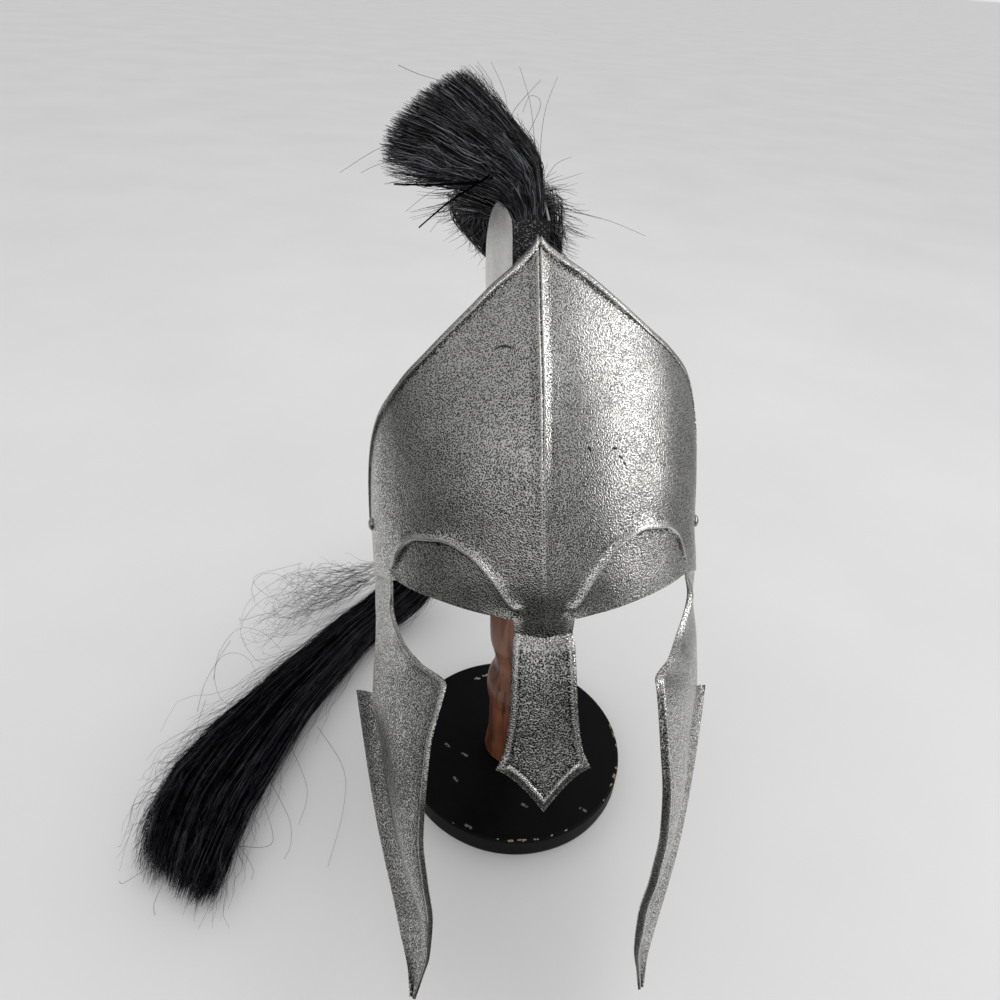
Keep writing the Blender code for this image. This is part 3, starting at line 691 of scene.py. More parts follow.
def visor_angles():
    """Columns of one half of the visor: over the nose, over the eye and over the side strip."""
    half_width = visor_surface(NASAL_ANGLE, 5).x
    start = math.sin(math.radians(CREASE_ANGLE))
    end = math.sin(math.radians(NASAL_ANGLE))
    nose = []
    for stop in nose_stops(half_width):
        nose.append(math.degrees(math.asin(start + (end - start) * stop / half_width)))
    eye = [NASAL_ANGLE + (STRIP_ANGLE - NASAL_ANGLE) * i / 46 for i in range(1, 47)]
    strip = [STRIP_ANGLE + (TEMPLE_ANGLE - STRIP_ANGLE) * i / 20 for i in range(1, 21)]
    return nose, eye, strip


def rim_height(angle, side):
    return smooth(VISOR_EDGES, "rim", angle) + side * smooth(VISOR_EDGES, "skew", angle)


def arc_height(angle):
    return smooth(VISOR_EDGES, "arc", angle)


def visor_column(angle, side):
    """Points up one column of the visor, from the brow edge to the rim, on the +x side."""
    brow = smooth(VISOR_EDGES, "brow", angle)
    arc = arc_height(angle) + smooth(ARC_RAISED, "right" if side > 0 else "left", angle)
    rim = rim_height(angle, side)
    arc_strength = clamp(min((angle - NASAL_ANGLE + 3) / 2.5, (STRIP_ANGLE - angle) / 4))
    if side > 0:
        arc_strength *= 1 - 0.5 * clamp((angle - GROOVE_ENDS) / 8)
    groove = clamp((GROOVE_ENDS - angle) / 16, 0.0 if side > 0 else 0.5)
    step = 0.5
    low, high = max(angle - step, CREASE_ANGLE), min(angle + step, TEMPLE_ANGLE)
    run = visor_surface(high, rim) - visor_surface(low, rim)
    fall = (rim_height(high, side) - rim_height(low, side)) / math.hypot(run.x, run.y)
    lean = min(math.sqrt(1 + fall * fall), RIM_STRETCH)
    rise = arc_height(min(angle + step, STRIP_ANGLE)) - arc_height(max(angle - step, CREASE_ANGLE))
    arc_lean = min(math.sqrt(1 + (rise / math.hypot(run.x, run.y)) ** 2), ARC_STRETCH)
    top = rim - 10 * lean
    spacing = min(arc_lean, (top - arc) / 16)
    under, over = arc - 0.9 * spacing, arc + 10 * spacing
    stops = [(brow + (under - brow) * f, "recess", f) for f in (0, 0.06, 0.15, 0.3, 0.5, 0.7, 0.85, 0.95)]
    stops += [(arc + d * spacing, "arc", d) for d in (-0.9, -0.5, -0.1, 0.3, 1.0, 1.8, 2.9, 4.1, 5.2, 8)]
    stops += [(over + (top - over) * i / PLAIN_ROWS, "plain", 0) for i in range(PLAIN_ROWS)]
    stops += [(rim - e * lean, "bead", e) for e in reversed(BEAD_STOPS)]
    points = []
    for z, kind, at in stops:
        base = visor_surface(angle, z)
        raised = 0.0
        if kind == "recess":
            raised = -EYE_RECESS * arc_strength * math.sin(min(at * 1.25, 1) * math.pi / 2) ** 0.8
        elif kind == "arc":
            raised = arc_strength * relief(ARC_STEP, at)
        elif kind == "bead":
            raised = relief(RIM_BEAD, at)
            raised *= groove if at > 3.5 else 0.4 + 0.6 * groove
        ridge_part = clamp((z - 8) / 22) * (0.15 + 0.85 * clamp((z - 60) / 90))
        raised += relief(RIDGE, abs(base.x)) * ridge_part
        sign = Vector((base.x * side, base.y, base.z))
        raised += uneven(sign, 0.2, 33) * min(abs(angle - CREASE_ANGLE) / 3, 1) * min((rim - z) / 20, 1)
        point = base + visor_normal(angle, z) * raised
        if side > 0:
            point.x += TEMPLE_SPREAD * clamp((angle - 55) / 33) * clamp((45 - z) / 35)
        if angle <= CREASE_ANGLE + 0.001:
            point.x = 0
        points.append(point)
    return points


def nasal_rows(brow_row):
    """Rows of half the nose guard from the brow down; the first row is the visor's own."""
    rows = [list(brow_row)]
    last = NASAL_LEVELS[-1]

    def level_at(step):
        return type(last)(step, *(smooth(NASAL_LEVELS, column, step) for column in last._fields[1:]))

    def hollow_slope(s):
        drop = (last.edge_z - last.centre_z) * NASAL_HOLLOW * (1 - s) ** (NASAL_HOLLOW - 1)
        return math.sqrt(1 + (drop / last.half_width) ** 2)

    def place(level, stop):
        s = stop / level.half_width
        drop = 1 - (1 - min(s, 1)) ** NASAL_HOLLOW
        y = level.centre_y + (level.edge_y - level.centre_y) * s
        z = level.centre_z + (level.edge_z - level.centre_z) * drop
        return Vector((stop, y, z)), s

    steps = [i / 8 for i in range(0, 33)]
    plain = [(step, None) for step in steps]
    bottom = [(None, e) for e in NOSE_BEAD_STOPS]
    upper = level_at(4)
    for step, rise in plain + [(4.0, "mid")] + bottom:
        row = []
        level = level_at(step) if step is not None else last
        for stop_index in range(len(brow_row)):
            if rise is None:
                point, s = place(level, nose_stops(level.half_width)[stop_index])
                e, bead = level.half_width * (1 - s), NOSE_BEAD
                fade = min(step, 1)
            else:
                top_point, s = place(upper, nose_stops(upper.half_width)[stop_index])
                low_point, s_low = place(last, nose_stops(last.half_width)[stop_index])
                lean = hollow_slope(s_low)
                wanted = (NOSE_BEAD_STOPS[0] if rise == "mid" else rise) * lean
                full = top_point.z - low_point.z
                f = min(wanted / full, 1)
                if rise == "mid":
                    f = (f + 1) / 2
                point = low_point.lerp(top_point, f)
                width = last.half_width + (upper.half_width - last.half_width) * f
                beside, above = width * (1 - s_low), f * full / lean
                e, bead = min((beside, NOSE_BEAD), (above, NOSE_END_BEAD), key=lambda pair: pair[0])
                fade = 1
            point.y -= relief(bead, e) * fade + uneven(point, 0.2, 15) * min(e / 5, 1) * fade
            row.append(point)
        rows.append(row)
    return rows


def cheek_sway(point, side):
    """Both cheek pieces have been bent over sideways, most at their tips."""
    top = CHEEK_LEVELS[0].front[2]
    tip = CHEEK_LEVELS[-1].front[2]
    down = max(0, (top - point.z) / (top - tip))
    return Vector((point.x - side * CHEEK_SWAY * down ** CHEEK_SWAY_POWER, point.y, point.z))


def along(points, per_step):
    """Points on a smooth curve through the given ones."""
    rows = table("i x y z", *((i, *Vector(point)) for i, point in enumerate(points)))
    stops = [n / per_step for n in range((len(points) - 1) * per_step + 1)]
    return [Vector([smooth(rows, axis, stop) for axis in "xyz"]) for stop in stops]


def cheek_rows(brow_row, side):
    """Rows of the side strip and cheek piece from the brow down, and those of its flange."""
    count = len(brow_row) - 1
    levels = UPPER_LEVELS[side] + CHEEK_LEVELS[1:]
    bead_stops = [at for at, height in CHEEK_BEAD[-1]]
    per_step = CHEEK_STEPS
    fronts = along([brow_row[0]] + [level.front for level in levels], per_step)
    valleys = along([brow_row[-1]] + [level.valley for level in levels], per_step)
    first_edge = len(UPPER_LEVELS[side]) - 1
    edges = [Vector(level.edge) for level in CHEEK_LEVELS]
    if side < 0:
        for n, edge in enumerate(edges[:5]):
            edge.xy += Vector(LEFT_FLANGE_OUT) * (1 if n < 4 else 0.5)
    edges = along(edges, per_step)
    bulges = table("i value", *enumerate([0] + [level.bulge for level in levels]))
    base = []
    for n, (front, valley) in enumerate(zip(fronts, valleys)):
        chord = valley - front
        outward = Vector((chord.y, -chord.x, 0)).normalized()
        bulge = smooth(bulges, "value", n / per_step)
        ahead = fronts[min(n + 1, len(fronts) - 1)] - fronts[max(n - 1, 0)]
        slant = max(ahead.cross(chord).length / (ahead.length * chord.length), 0.5)
        scale = min(1, chord.length * 0.5 * slant / bead_stops[-1])
        bead = [e * scale / slant / chord.length for e in bead_stops]
        rest = count + 1 - len(bead)
        fractions = bead + [bead[-1] + (1 - bead[-1]) * (i + 1) / rest for i in range(rest)]
        if n == 0:
            row = list(brow_row)
        else:
            row = []
            blend = min(n / per_step, 1)
            for i, s in enumerate(fractions):
                plain = i / count
                s = plain + (s - plain) * blend
                row.append(front + chord * s + outward * (bulge * math.sin(math.pi * s)))
                rise = relief(CHEEK_BEAD[side], s * chord.length * slant / scale) * scale * blend
                row[-1] += outward * (rise + uneven(row[-1], 0.3, 18) * min(s * 8, 1) * blend)
        base.append([cheek_sway(point, side) for point in row] if n else row)
    flange = []
    shift = (first_edge + 1) * per_step
    for n, edge in enumerate(edges):
        valley = base[shift + n][-1]
        edge = cheek_sway(edge, side)
        reach = edge - valley
        out = Vector((reach.y, -reach.x, 0)).normalized() if reach.length > 0.01 else Vector((1, 0, 0))
        row = [valley]
        for f in (0.12, 0.3, 0.55, 0.8, 0.92, 1.0):
            lip = FLANGE_LIP * max(0, (f - 0.7) / 0.3)
            row.append(valley + reach * f + out * (lip - FLANGE_GROOVE * math.sin(math.pi * f ** 0.7)))
        flange.append(row)
    return base, flange


def mirrored_rows(rows, side):
    return [[(point.x * side, point.y, point.z) for point in row] for row in rows]


def grid_faces(bm, rows, flip):
    made = [[bm.verts.new(Vector(point) * MM) for point in row] for row in rows]
    for lower, upper in zip(made, made[1:]):
        for i in range(len(lower) - 1):
            corners = (lower[i], lower[i + 1], upper[i + 1], upper[i])
            bm.faces.new(corners[::-1] if flip else corners)


def smooth_piece(name, bm):
    mesh = bpy.data.meshes.new(name)
    bm.to_mesh(mesh)
    bm.free()
    mesh.shade_smooth()
    return new_piece(name, mesh)


FOLD_SWAY = table(
    "z sideways",
    (-111, -2.2), (-40, -1.8), (0, -1.8), (30, -2.7), (70, -3.6), (110, -4.0), (170, -4.0), (200, -3.3),
    (226, -2.3),
)
SWAY_REACH, SWAY_FADE = 95, 65


def sway_fold(bm):
    """The middle fold isn't quite true: it wanders off to one side on its way up."""
    for vert in bm.verts:
        nearness = clamp((SWAY_REACH - abs(vert.co.x / MM)) / SWAY_FADE)
        vert.co.x += smooth(FOLD_SWAY, "sideways", vert.co.z / MM) * nearness * MM


# How near two points of the plate count as one.
WELD = 0.03
# How hard the sheet's edges are rubbed bright and its hollows darkened with painted shade, and
# where more painted shade darkens it: on the nose guard, down the left cheek piece and on the
# bead of the right one.
RUBBING_AND_HOLLOW_SHADE = 4.5
NOSE_SHADE_WIDTH, NOSE_SHADE_TOP, NOSE_PAINTED_SHADE = 32, -14, 0.45
LEFT_CHEEK_PAINTED_SHADE = 0.3
BEAD_PAINTED_SHADE, BEAD_SHADE_TURN, BEAD_SHADE_END, BEAD_SHADE_FADE = 0.75, 0.5, -130, 50
CHEEK_SHADE_TOP, CHEEK_SHADE_FADE = -15, 30


def rub_edges_and_shade_hollows(bm):
    """How far each point stands proud of its neighbours: rubbed bright if it does, darker as painted shade if sunk;
    then more painted shade on the nose guard and cheek pieces.
    """
    layer = bm.verts.layers.float.new("worn")
    bm.normal_update()
    proud = {}
    for vert in bm.verts:
        bends = []
        for join in vert.link_edges:
            step = (vert.co - join.other_vert(vert).co) / MM
            bends.append(step.dot(vert.normal) / max(step.length_squared, 0.2))
        proud[vert] = sum(bends) / len(bends)
    for vert in bm.verts:
        near = [proud[join.other_vert(vert)] for join in vert.link_edges]
        vert[layer] = clamp((proud[vert] + sum(near) / len(near)) * RUBBING_AND_HOLLOW_SHADE, -1)
        # Painted shade: the lower nose guard is darker.
        if abs(vert.co.x) < NOSE_SHADE_WIDTH * MM and vert.co.z < NOSE_SHADE_TOP * MM:
            vert[layer] -= NOSE_PAINTED_SHADE
        elif vert.co.z < CHEEK_SHADE_TOP * MM:
            depth = min((CHEEK_SHADE_TOP - vert.co.z / MM) / CHEEK_SHADE_FADE, 1)
            # Painted shade down the left cheek piece, deepening downwards.
            if vert.co.x < 0:
                vert[layer] -= LEFT_CHEEK_PAINTED_SHADE * depth
            # Painted shade on the right cheek piece where it faces forward rather than out, its bead included, fading
            # out towards the tip.
            elif vert.normal.x < BEAD_SHADE_TURN:
                above_end = (vert.co.z / MM - BEAD_SHADE_END) / BEAD_SHADE_FADE
                vert[layer] -= BEAD_PAINTED_SHADE * max(min(depth, above_end), 0)


plate_bm = bmesh.new()
nose, eye, strip = visor_angles()
for side in (1, -1):
    columns = [visor_column(angle, side) for angle in nose + eye + strip]
    rows = [list(row) for row in zip(*columns)]
    grid_faces(plate_bm, mirrored_rows(rows, side), side < 0)
    grid_faces(plate_bm, mirrored_rows(nasal_rows(rows[0][:len(nose)]), side), side > 0)
    cheek, flange = cheek_rows(rows[0][len(nose) + len(eye) - 1:], side)
    grid_faces(plate_bm, mirrored_rows(cheek, side), side > 0)
    grid_faces(plate_bm, mirrored_rows(flange, side), side > 0)
bmesh.ops.remove_doubles(plate_bm, verts=plate_bm.verts, dist=WELD * MM)
sway_fold(plate_bm)
rub_edges_and_shade_hollows(plate_bm)
face_plate = smooth_piece("face_plate_formed", plate_bm)
finish_sheet(face_plate)
dress(face_plate, ["face_plate"])

# ------------------------------------------------------------------------------------------
# Rivets.
# Two soft steel rivets with domed heads, hammered over at the temples through the face plate
# and the bowl, and coated with them.

RIVET_ANGLE = 80
RIVET_Z = 48
RIVET_PROFILE = [(0, -9.0), (1.6, -8.9), (2.6, -8.5), (3.1, -7.8), (2.0, -7.8), (2.0, 0.3), (4.1, 0.3), (4.2, 0.6),
                 (3.95, 1.2), (3.3, 1.85), (2.3, 2.4), (1.1, 2.65), (0, 2.7)]


def new_tree(name, *sockets):
    """A node tree that makes a mesh: the tree, its named inputs and the socket it ends in."""
    tree = bpy.data.node_groups.new(name, "GeometryNodeTree")
    for socket, kind in sockets:
        tree.interface.new_socket(socket, in_out="INPUT", socket_type="NodeSocket" + kind)
    tree.interface.new_socket("Made", in_out="OUTPUT", socket_type="NodeSocketGeometry")
    return tree, tree.nodes.new("NodeGroupInput").outputs, tree.nodes.new("NodeGroupOutput").inputs[0]


def chained(start, *kinds):
    """Runs a geometry through one node after another; a step is a kind, or a kind and its other sockets."""
    for kind, *links in kinds:
        start = add_node(start.id_data, "GeometryNode" + kind, [(0, start), *links]).outputs[0]
    return start


def named_vector(tree, name):
    return add_node(tree, "GeometryNodeInputNamedAttribute", [("Name", name)], data_type="FLOAT_VECTOR").outputs[0]


def rivet_tree():
    """Puts one turned rivet on every point of a mesh, standing along the point's direction."""
    tree, given, end = new_tree(
        "rivets_on_points", ("Temples", "Geometry"), ("Rivet", "Object"), ("Finish", "Material"))
    out = [("Vector", named_vector(tree, "out"))]
    turned = add_node(tree, "FunctionNodeAlignRotationToVector", out, axis="Z").outputs[0]
    single = add_node(tree, "GeometryNodeObjectInfo", [("Object", given["Rivet"])]).outputs["Geometry"]
    put(end, chained(given["Temples"], ("InstanceOnPoints", ("Instance", single), ("Rotation", turned)),
                     ("RealizeInstances",), ("SetMaterial", ("Material", given["Finish"]))))
    return tree


def nodes_to_mesh(name, source, tree, inputs):
    """Runs a node tree over an object and keeps the result as a plain mesh piece."""
    maker = source.modifiers.new("maker", "NODES")
    maker.node_group = tree
    for item in tree.interface.items_tree:
        if item.item_type == "SOCKET" and item.in_out == "INPUT" and item.name in inputs:
            maker[item.identifier] = inputs[item.name]
    source.update_tag()
    graph = bpy.context.evaluated_depsgraph_get()
    mesh = bpy.data.meshes.new_from_object(source.evaluated_get(graph), depsgraph=graph)
    mesh.name = name
    bpy.data.objects.remove(source)
    return new_piece(name, mesh)


rivet_form = turned_piece("rivet_form", RIVET_PROFILE, around=28)
tidy_mesh(rivet_form, crease=50)
rivet_form.hide_render = True
temples = bpy.data.meshes.new("temples")
points, outs = [], []
for side in (1, -1):
    at = visor_surface(RIVET_ANGLE, RIVET_Z)
    out = visor_normal(RIVET_ANGLE, RIVET_Z)
    points.append(helmet_pose @ (Vector((at.x * side, at.y, at.z)) * MM))
    outs += list(helmet_pose.to_3x3() @ Vector((out.x * side, out.y, out.z)))
temples.from_pydata(points, [], [])
temples.attributes.new("out", "FLOAT_VECTOR", "POINT").data.foreach_set("vector", outs)
rivets = nodes_to_mesh("temple_rivets", new_piece("temples", temples), rivet_tree(),
                       {"Rivet": rivet_form, "Finish": silver_sheet})
bpy.data.objects.remove(rivet_form)
dress(rivets, ["rivet_left", "rivet_right"])

# ------------------------------------------------------------------------------------------
# Crest holder.
# A trough of the same sheet folded along the crown, open at the top and the back, its walls
# dressed smooth and the front end folded across.  The walls are finished paler, partly a smoother
# coating and partly painted highlight, and the front end darker as painted shade.  The plume's
# roots are jammed into it.

HOLDER_FRONT = (-2.5, -52)
HOLDER_TURN = 5.0
GAP = 0.3
HOLDER_STEPS = 34
HOLDER_LEVELS = table(
    "along half_width top_z bulged_left",
    (0, 9.5, 240, 5.2), (10, 10.5, 246, 4.6), (24, 12, 253.5, 3), (42, 14, 260, 1), (62, 16, 263, 0),
    (84, 17, 260, 0), (104, 17, 251, 0), (122, 16, 236, 0), (136, 14.5, 217, 0),
)
# Rows of a wall from its top down, as parts of its height, the last of them on the floor; how
# far its top edge is rolled out and its foot tucked in; and the two finishes: the walls' paler,
# nearly unflecked one, partly painted highlight, and the front end's darker one, painted shade.
WALL_STOPS = [1, 0.98, 0.95, 0.85, 0.7, 0.5, 0.3, 0.12, 0.04, 0]
TOP_ROLL, FOOT_TUCK, WALL_INSET = 0.5, 1.2, 0.5
HOLDER_FINISHES = (("smooth_silver_fold_painted_highlight", 0.0, 0.1, 0.62), ("painted_shade_silver_fold", 0.6, 1.1, 0.20))
HOLDER_WELD = 0.01


def bowl_roof(y):
    """Height of the bowl over the middle line, found by walking up its profile."""
    azimuth = 0 if y < BOWL_CENTRE_Y + BOWL_CROWN_SHIFT else math.pi
    return min((bowl_point(azimuth, i / 400) for i in range(401)), key=lambda p: abs(p.y - y)).z


holder_bm = bmesh.new()
turn = math.radians(HOLDER_TURN)
holder_ahead = Vector((-math.sin(turn), math.cos(turn), 0))
holder_side = Vector((holder_ahead.y, -holder_ahead.x, 0))
rows = []
length = HOLDER_LEVELS[-1].along
for n in range(HOLDER_STEPS + 1):
    stop = length * n / HOLDER_STEPS
    centre = Vector((*HOLDER_FRONT, 0)) + holder_ahead * stop
    floor = bowl_roof(centre.y) + GAP + SHEET
    half_width = smooth(HOLDER_LEVELS, "half_width", stop)
    top = smooth(HOLDER_LEVELS, "top_z", stop)
    bulged_left = smooth(HOLDER_LEVELS, "bulged_left", stop)
    row = []
    for sign, heights in ((1, WALL_STOPS), (-1, WALL_STOPS[::-1])):
        for height in heights:
            rolled = TOP_ROLL * max(0, (height - 0.9) / 0.1)
            tucked = FOOT_TUCK * max(0, (0.05 - max(height, 0.01)) / 0.05)
            point = centre + holder_side * sign * (half_width + rolled - tucked - WALL_INSET)
            if sign < 0:
                point -= holder_side * bulged_left
            point.z = floor + (top - floor) * height
            row.append(point)
    rows.append(row)
grid_faces(holder_bm, rows, False)
bmesh.ops.remove_doubles(holder_bm, verts=holder_bm.verts, dist=HOLDER_WELD * MM)
holder_bm.verts.ensure_lookup_table()
count = len(rows[0])
front_faces = count // 2 - 1
for i in range(front_faces):
    holder_bm.faces.new([holder_bm.verts[k] for k in (i, i + 1, count - 2 - i, count - 1 - i)][::-1])
crest_holder = smooth_piece("crest_holder_folded", holder_bm)
crest_holder.data.set_sharp_from_angle(angle=math.radians(50))
for finish in HOLDER_FINISHES:
    crest_holder.data.materials.append(hammered_silver(*finish))
# The folded front end takes the darker finish: painted shade.
for face in crest_holder.data.polygons[-front_faces:]:
    face.material_index = 1
finish_sheet(crest_holder)
dress(crest_holder, ["crest_holder"])

# ------------------------------------------------------------------------------------------
# Short bunch of the plume.
# Black horsehair, bound at the root and wedged into the front of the crest holder.  It
# stands up, falls over to one side in locks and is trimmed square at the end.

# Spans of a bunch from its root on: the upper and lower edge of its section and half of its
# thickness.  The brush and its wisps are in the helmet's frame; its dark core ends before them.
BRUSH_SPANS = table(
    "upper lower thickness",
    ((3.6, -36, 205), (-11.4, -36, 205), 8), ((4.0, -36, 232), (-12, -36, 232), 9),
    ((4.3, -36, 246), (-14, -36, 243), 9), ((4.2, -36.5, 259.5), (-18, -36.5, 250), 10),
    ((2.0, -37, 275), (-24, -37, 255.5), 12), ((-3.5, -38, 286), (-34.5, -38, 259.5), 14),
    ((-12.5, -38, 297), (-47.5, -38, 263), 16), ((-24, -39, 309), (-63, -39, 268), 17),
    ((-37, -40, 321.5), (-79, -40, 274.5), 17.5), ((-54, -41, 337.5), (-114, -41, 279), 17.5),
)
WISP_SPANS = table(
    "upper lower thickness",
    ((-6, -38, 240), (-12, -38, 238), 4), ((-14, -38, 256), (-20, -38, 251), 5),
    ((-34, -39, 267), (-37, -39, 258), 7), ((-62, -40, 273), (-62, -40, 261), 9),
    ((-98, -41, 281), (-98, -41, 262), 11),
)
BRUSH_CORE_SECTIONS = 69


def black_horsehair(name, dark, light, roughness, shine, dull=0.45):
    """Coarse black hair; a few strands in each lock are coloured light grey as painted highlights, and are glossier
    too.
    """
    made, shader, place = new_material(name)
    tone = read_attribute(place, "tone")
    locks = cloud(place, 95.0, 3.0)
    middle = tuple((d * 3 + g) / 4 for d, g in zip(dark, light))
    # Strands that draw high are coloured towards the light grey: painted highlights on single hairs.
    strand = ramp(tone, (0.0, dark), (0.5, dark), (0.78, middle), (1.0, light))
    finish_with(shader, {
        "Base Color": mixed(1.0, strand, ramp(locks, (0.3, 0.45), (0.7, 1.35)), "MULTIPLY"),
        "Roughness": ramp(locks, (0.3, roughness - 0.06), (0.7, roughness + 0.1)),
        "Specular IOR Level": ramp(tone, (0.5, shine * dull), (1.0, shine * 1.6))})
    return made


# The light grey given here is a painted highlight on a few strands.
horsehair = black_horsehair("black_horsehair_strands", (0.0045, 0.0045, 0.0060), (0.30, 0.303, 0.33), 0.34, 0.5)
under_hair = black_horsehair("black_horsehair_core", (0.0025, 0.0025, 0.0032), (0.0025, 0.0025, 0.0032), 0.75, 0.0)


def hair_sections(spans, per_step, pose=None):
    """Cross-sections of a bunch in the world: centre, sideways and thickness vectors, in mm."""
    uppers = along([span.upper for span in spans], per_step)
    lowers = along([span.lower for span in spans], per_step)
    rows = table("i thickness", *((i, span.thickness) for i, span in enumerate(spans)))
    centres = [(upper + lower) / 2 for upper, lower in zip(uppers, lowers)]
    sections = []
    for n, (centre, upper) in enumerate(zip(centres, uppers)):
        ahead = centres[min(n + 1, len(centres) - 1)] - centres[max(n - 1, 0)]
        side = upper - centre
        thick = side.cross(ahead).normalized() * smooth(rows, "thickness", n / per_step)
        if pose:
            turned = pose.to_3x3()
            centre, side, thick = (pose @ (centre * MM)) / MM, turned @ side, turned @ thick
        sections.append((centre, side, thick))
    return sections


def hair_core(name, sections, shrink, locks=11, depth=0.10, around=66):
    """The dark body of a bunch under its strands, furrowed between locks and closed at both ends."""
    rows = []
    for n, (centre, side, thick) in enumerate(sections):
        row = []
        end = 0 if n in (0, len(sections) - 1) else 1
        for i in range(around):
            turn = 2 * math.pi * i / around
            wander = 0.9 * noise.noise(Vector((math.cos(turn), math.sin(turn), n * 0.12)))
            furrow = shrink * (1 - depth * (0.5 + 0.5 * math.cos(locks * turn + 3 * wander)))
            row.append(centre + (side * math.cos(turn) + thick * math.sin(turn)) * furrow)
        rows.append(row)
        if n == 0:
            rows.insert(0, [centre] * around)
    rows.append([sections[-1][0]] * around)
    core = piece_from_rows(name, rows, closed=True)
    tidy_mesh(core)
    core.data.materials.append(under_hair)
    return core


def swept(lines, thickness, taper, hair):
    """Fine three-sided hairs along curves, thinner towards their tips."""
    section = add_node(lines.id_data, "GeometryNodeCurvePrimitiveCircle", [("Resolution", 3), ("Radius", 0.5)])
    return chained(lines, ("CurveToMesh", ("Profile Curve", section.outputs[0]), ("Scale", times(thickness, taper))),
                   ("SetShadeSmooth",), ("RealizeInstances",), ("SetMaterial", ("Material", hair)))


# What a bunch of strands is made from: name, kind and usual value.  A pair of values, written
# as (from, to), is a range that each strand draws from.
STRAND_SOCKETS = table(
    "name kind usual",
    ("Guide points", "Int", 0), ("Strands", "Int", 500), ("Points", "Int", 12), ("Seed", "Int", 1),
    ("Thickness", "Float", 0.0005), ("Reach from", "Float", 0.0), ("Reach to", "Float", 1.0),
    ("Turn from", "Float", 0.0), ("Turn to", "Float", 2 * math.pi), ("Root from", "Float", 0.0),
    ("Root to", "Float", 0.5), ("Length from", "Float", 0.4), ("Length to", "Float", 1.0), ("End", "Float", 1.0),
    ("End scatter", "Float", 0.03), ("End rounding", "Float", 0.0), ("Locks", "Float", 5.0), ("Gather", "Float", 0.4),
    ("Flare", "Float", 0.0), ("Drift", "Float", 0.006), ("Curl", "Float", 0.003), ("Curl pitch", "Float", 8.0),
    ("Table", "Float", -1.0), ("Hair", "Material", horsehair),
)
# No strand strays farther left than this, in metres.
FARTHEST_LEFT = -0.3085


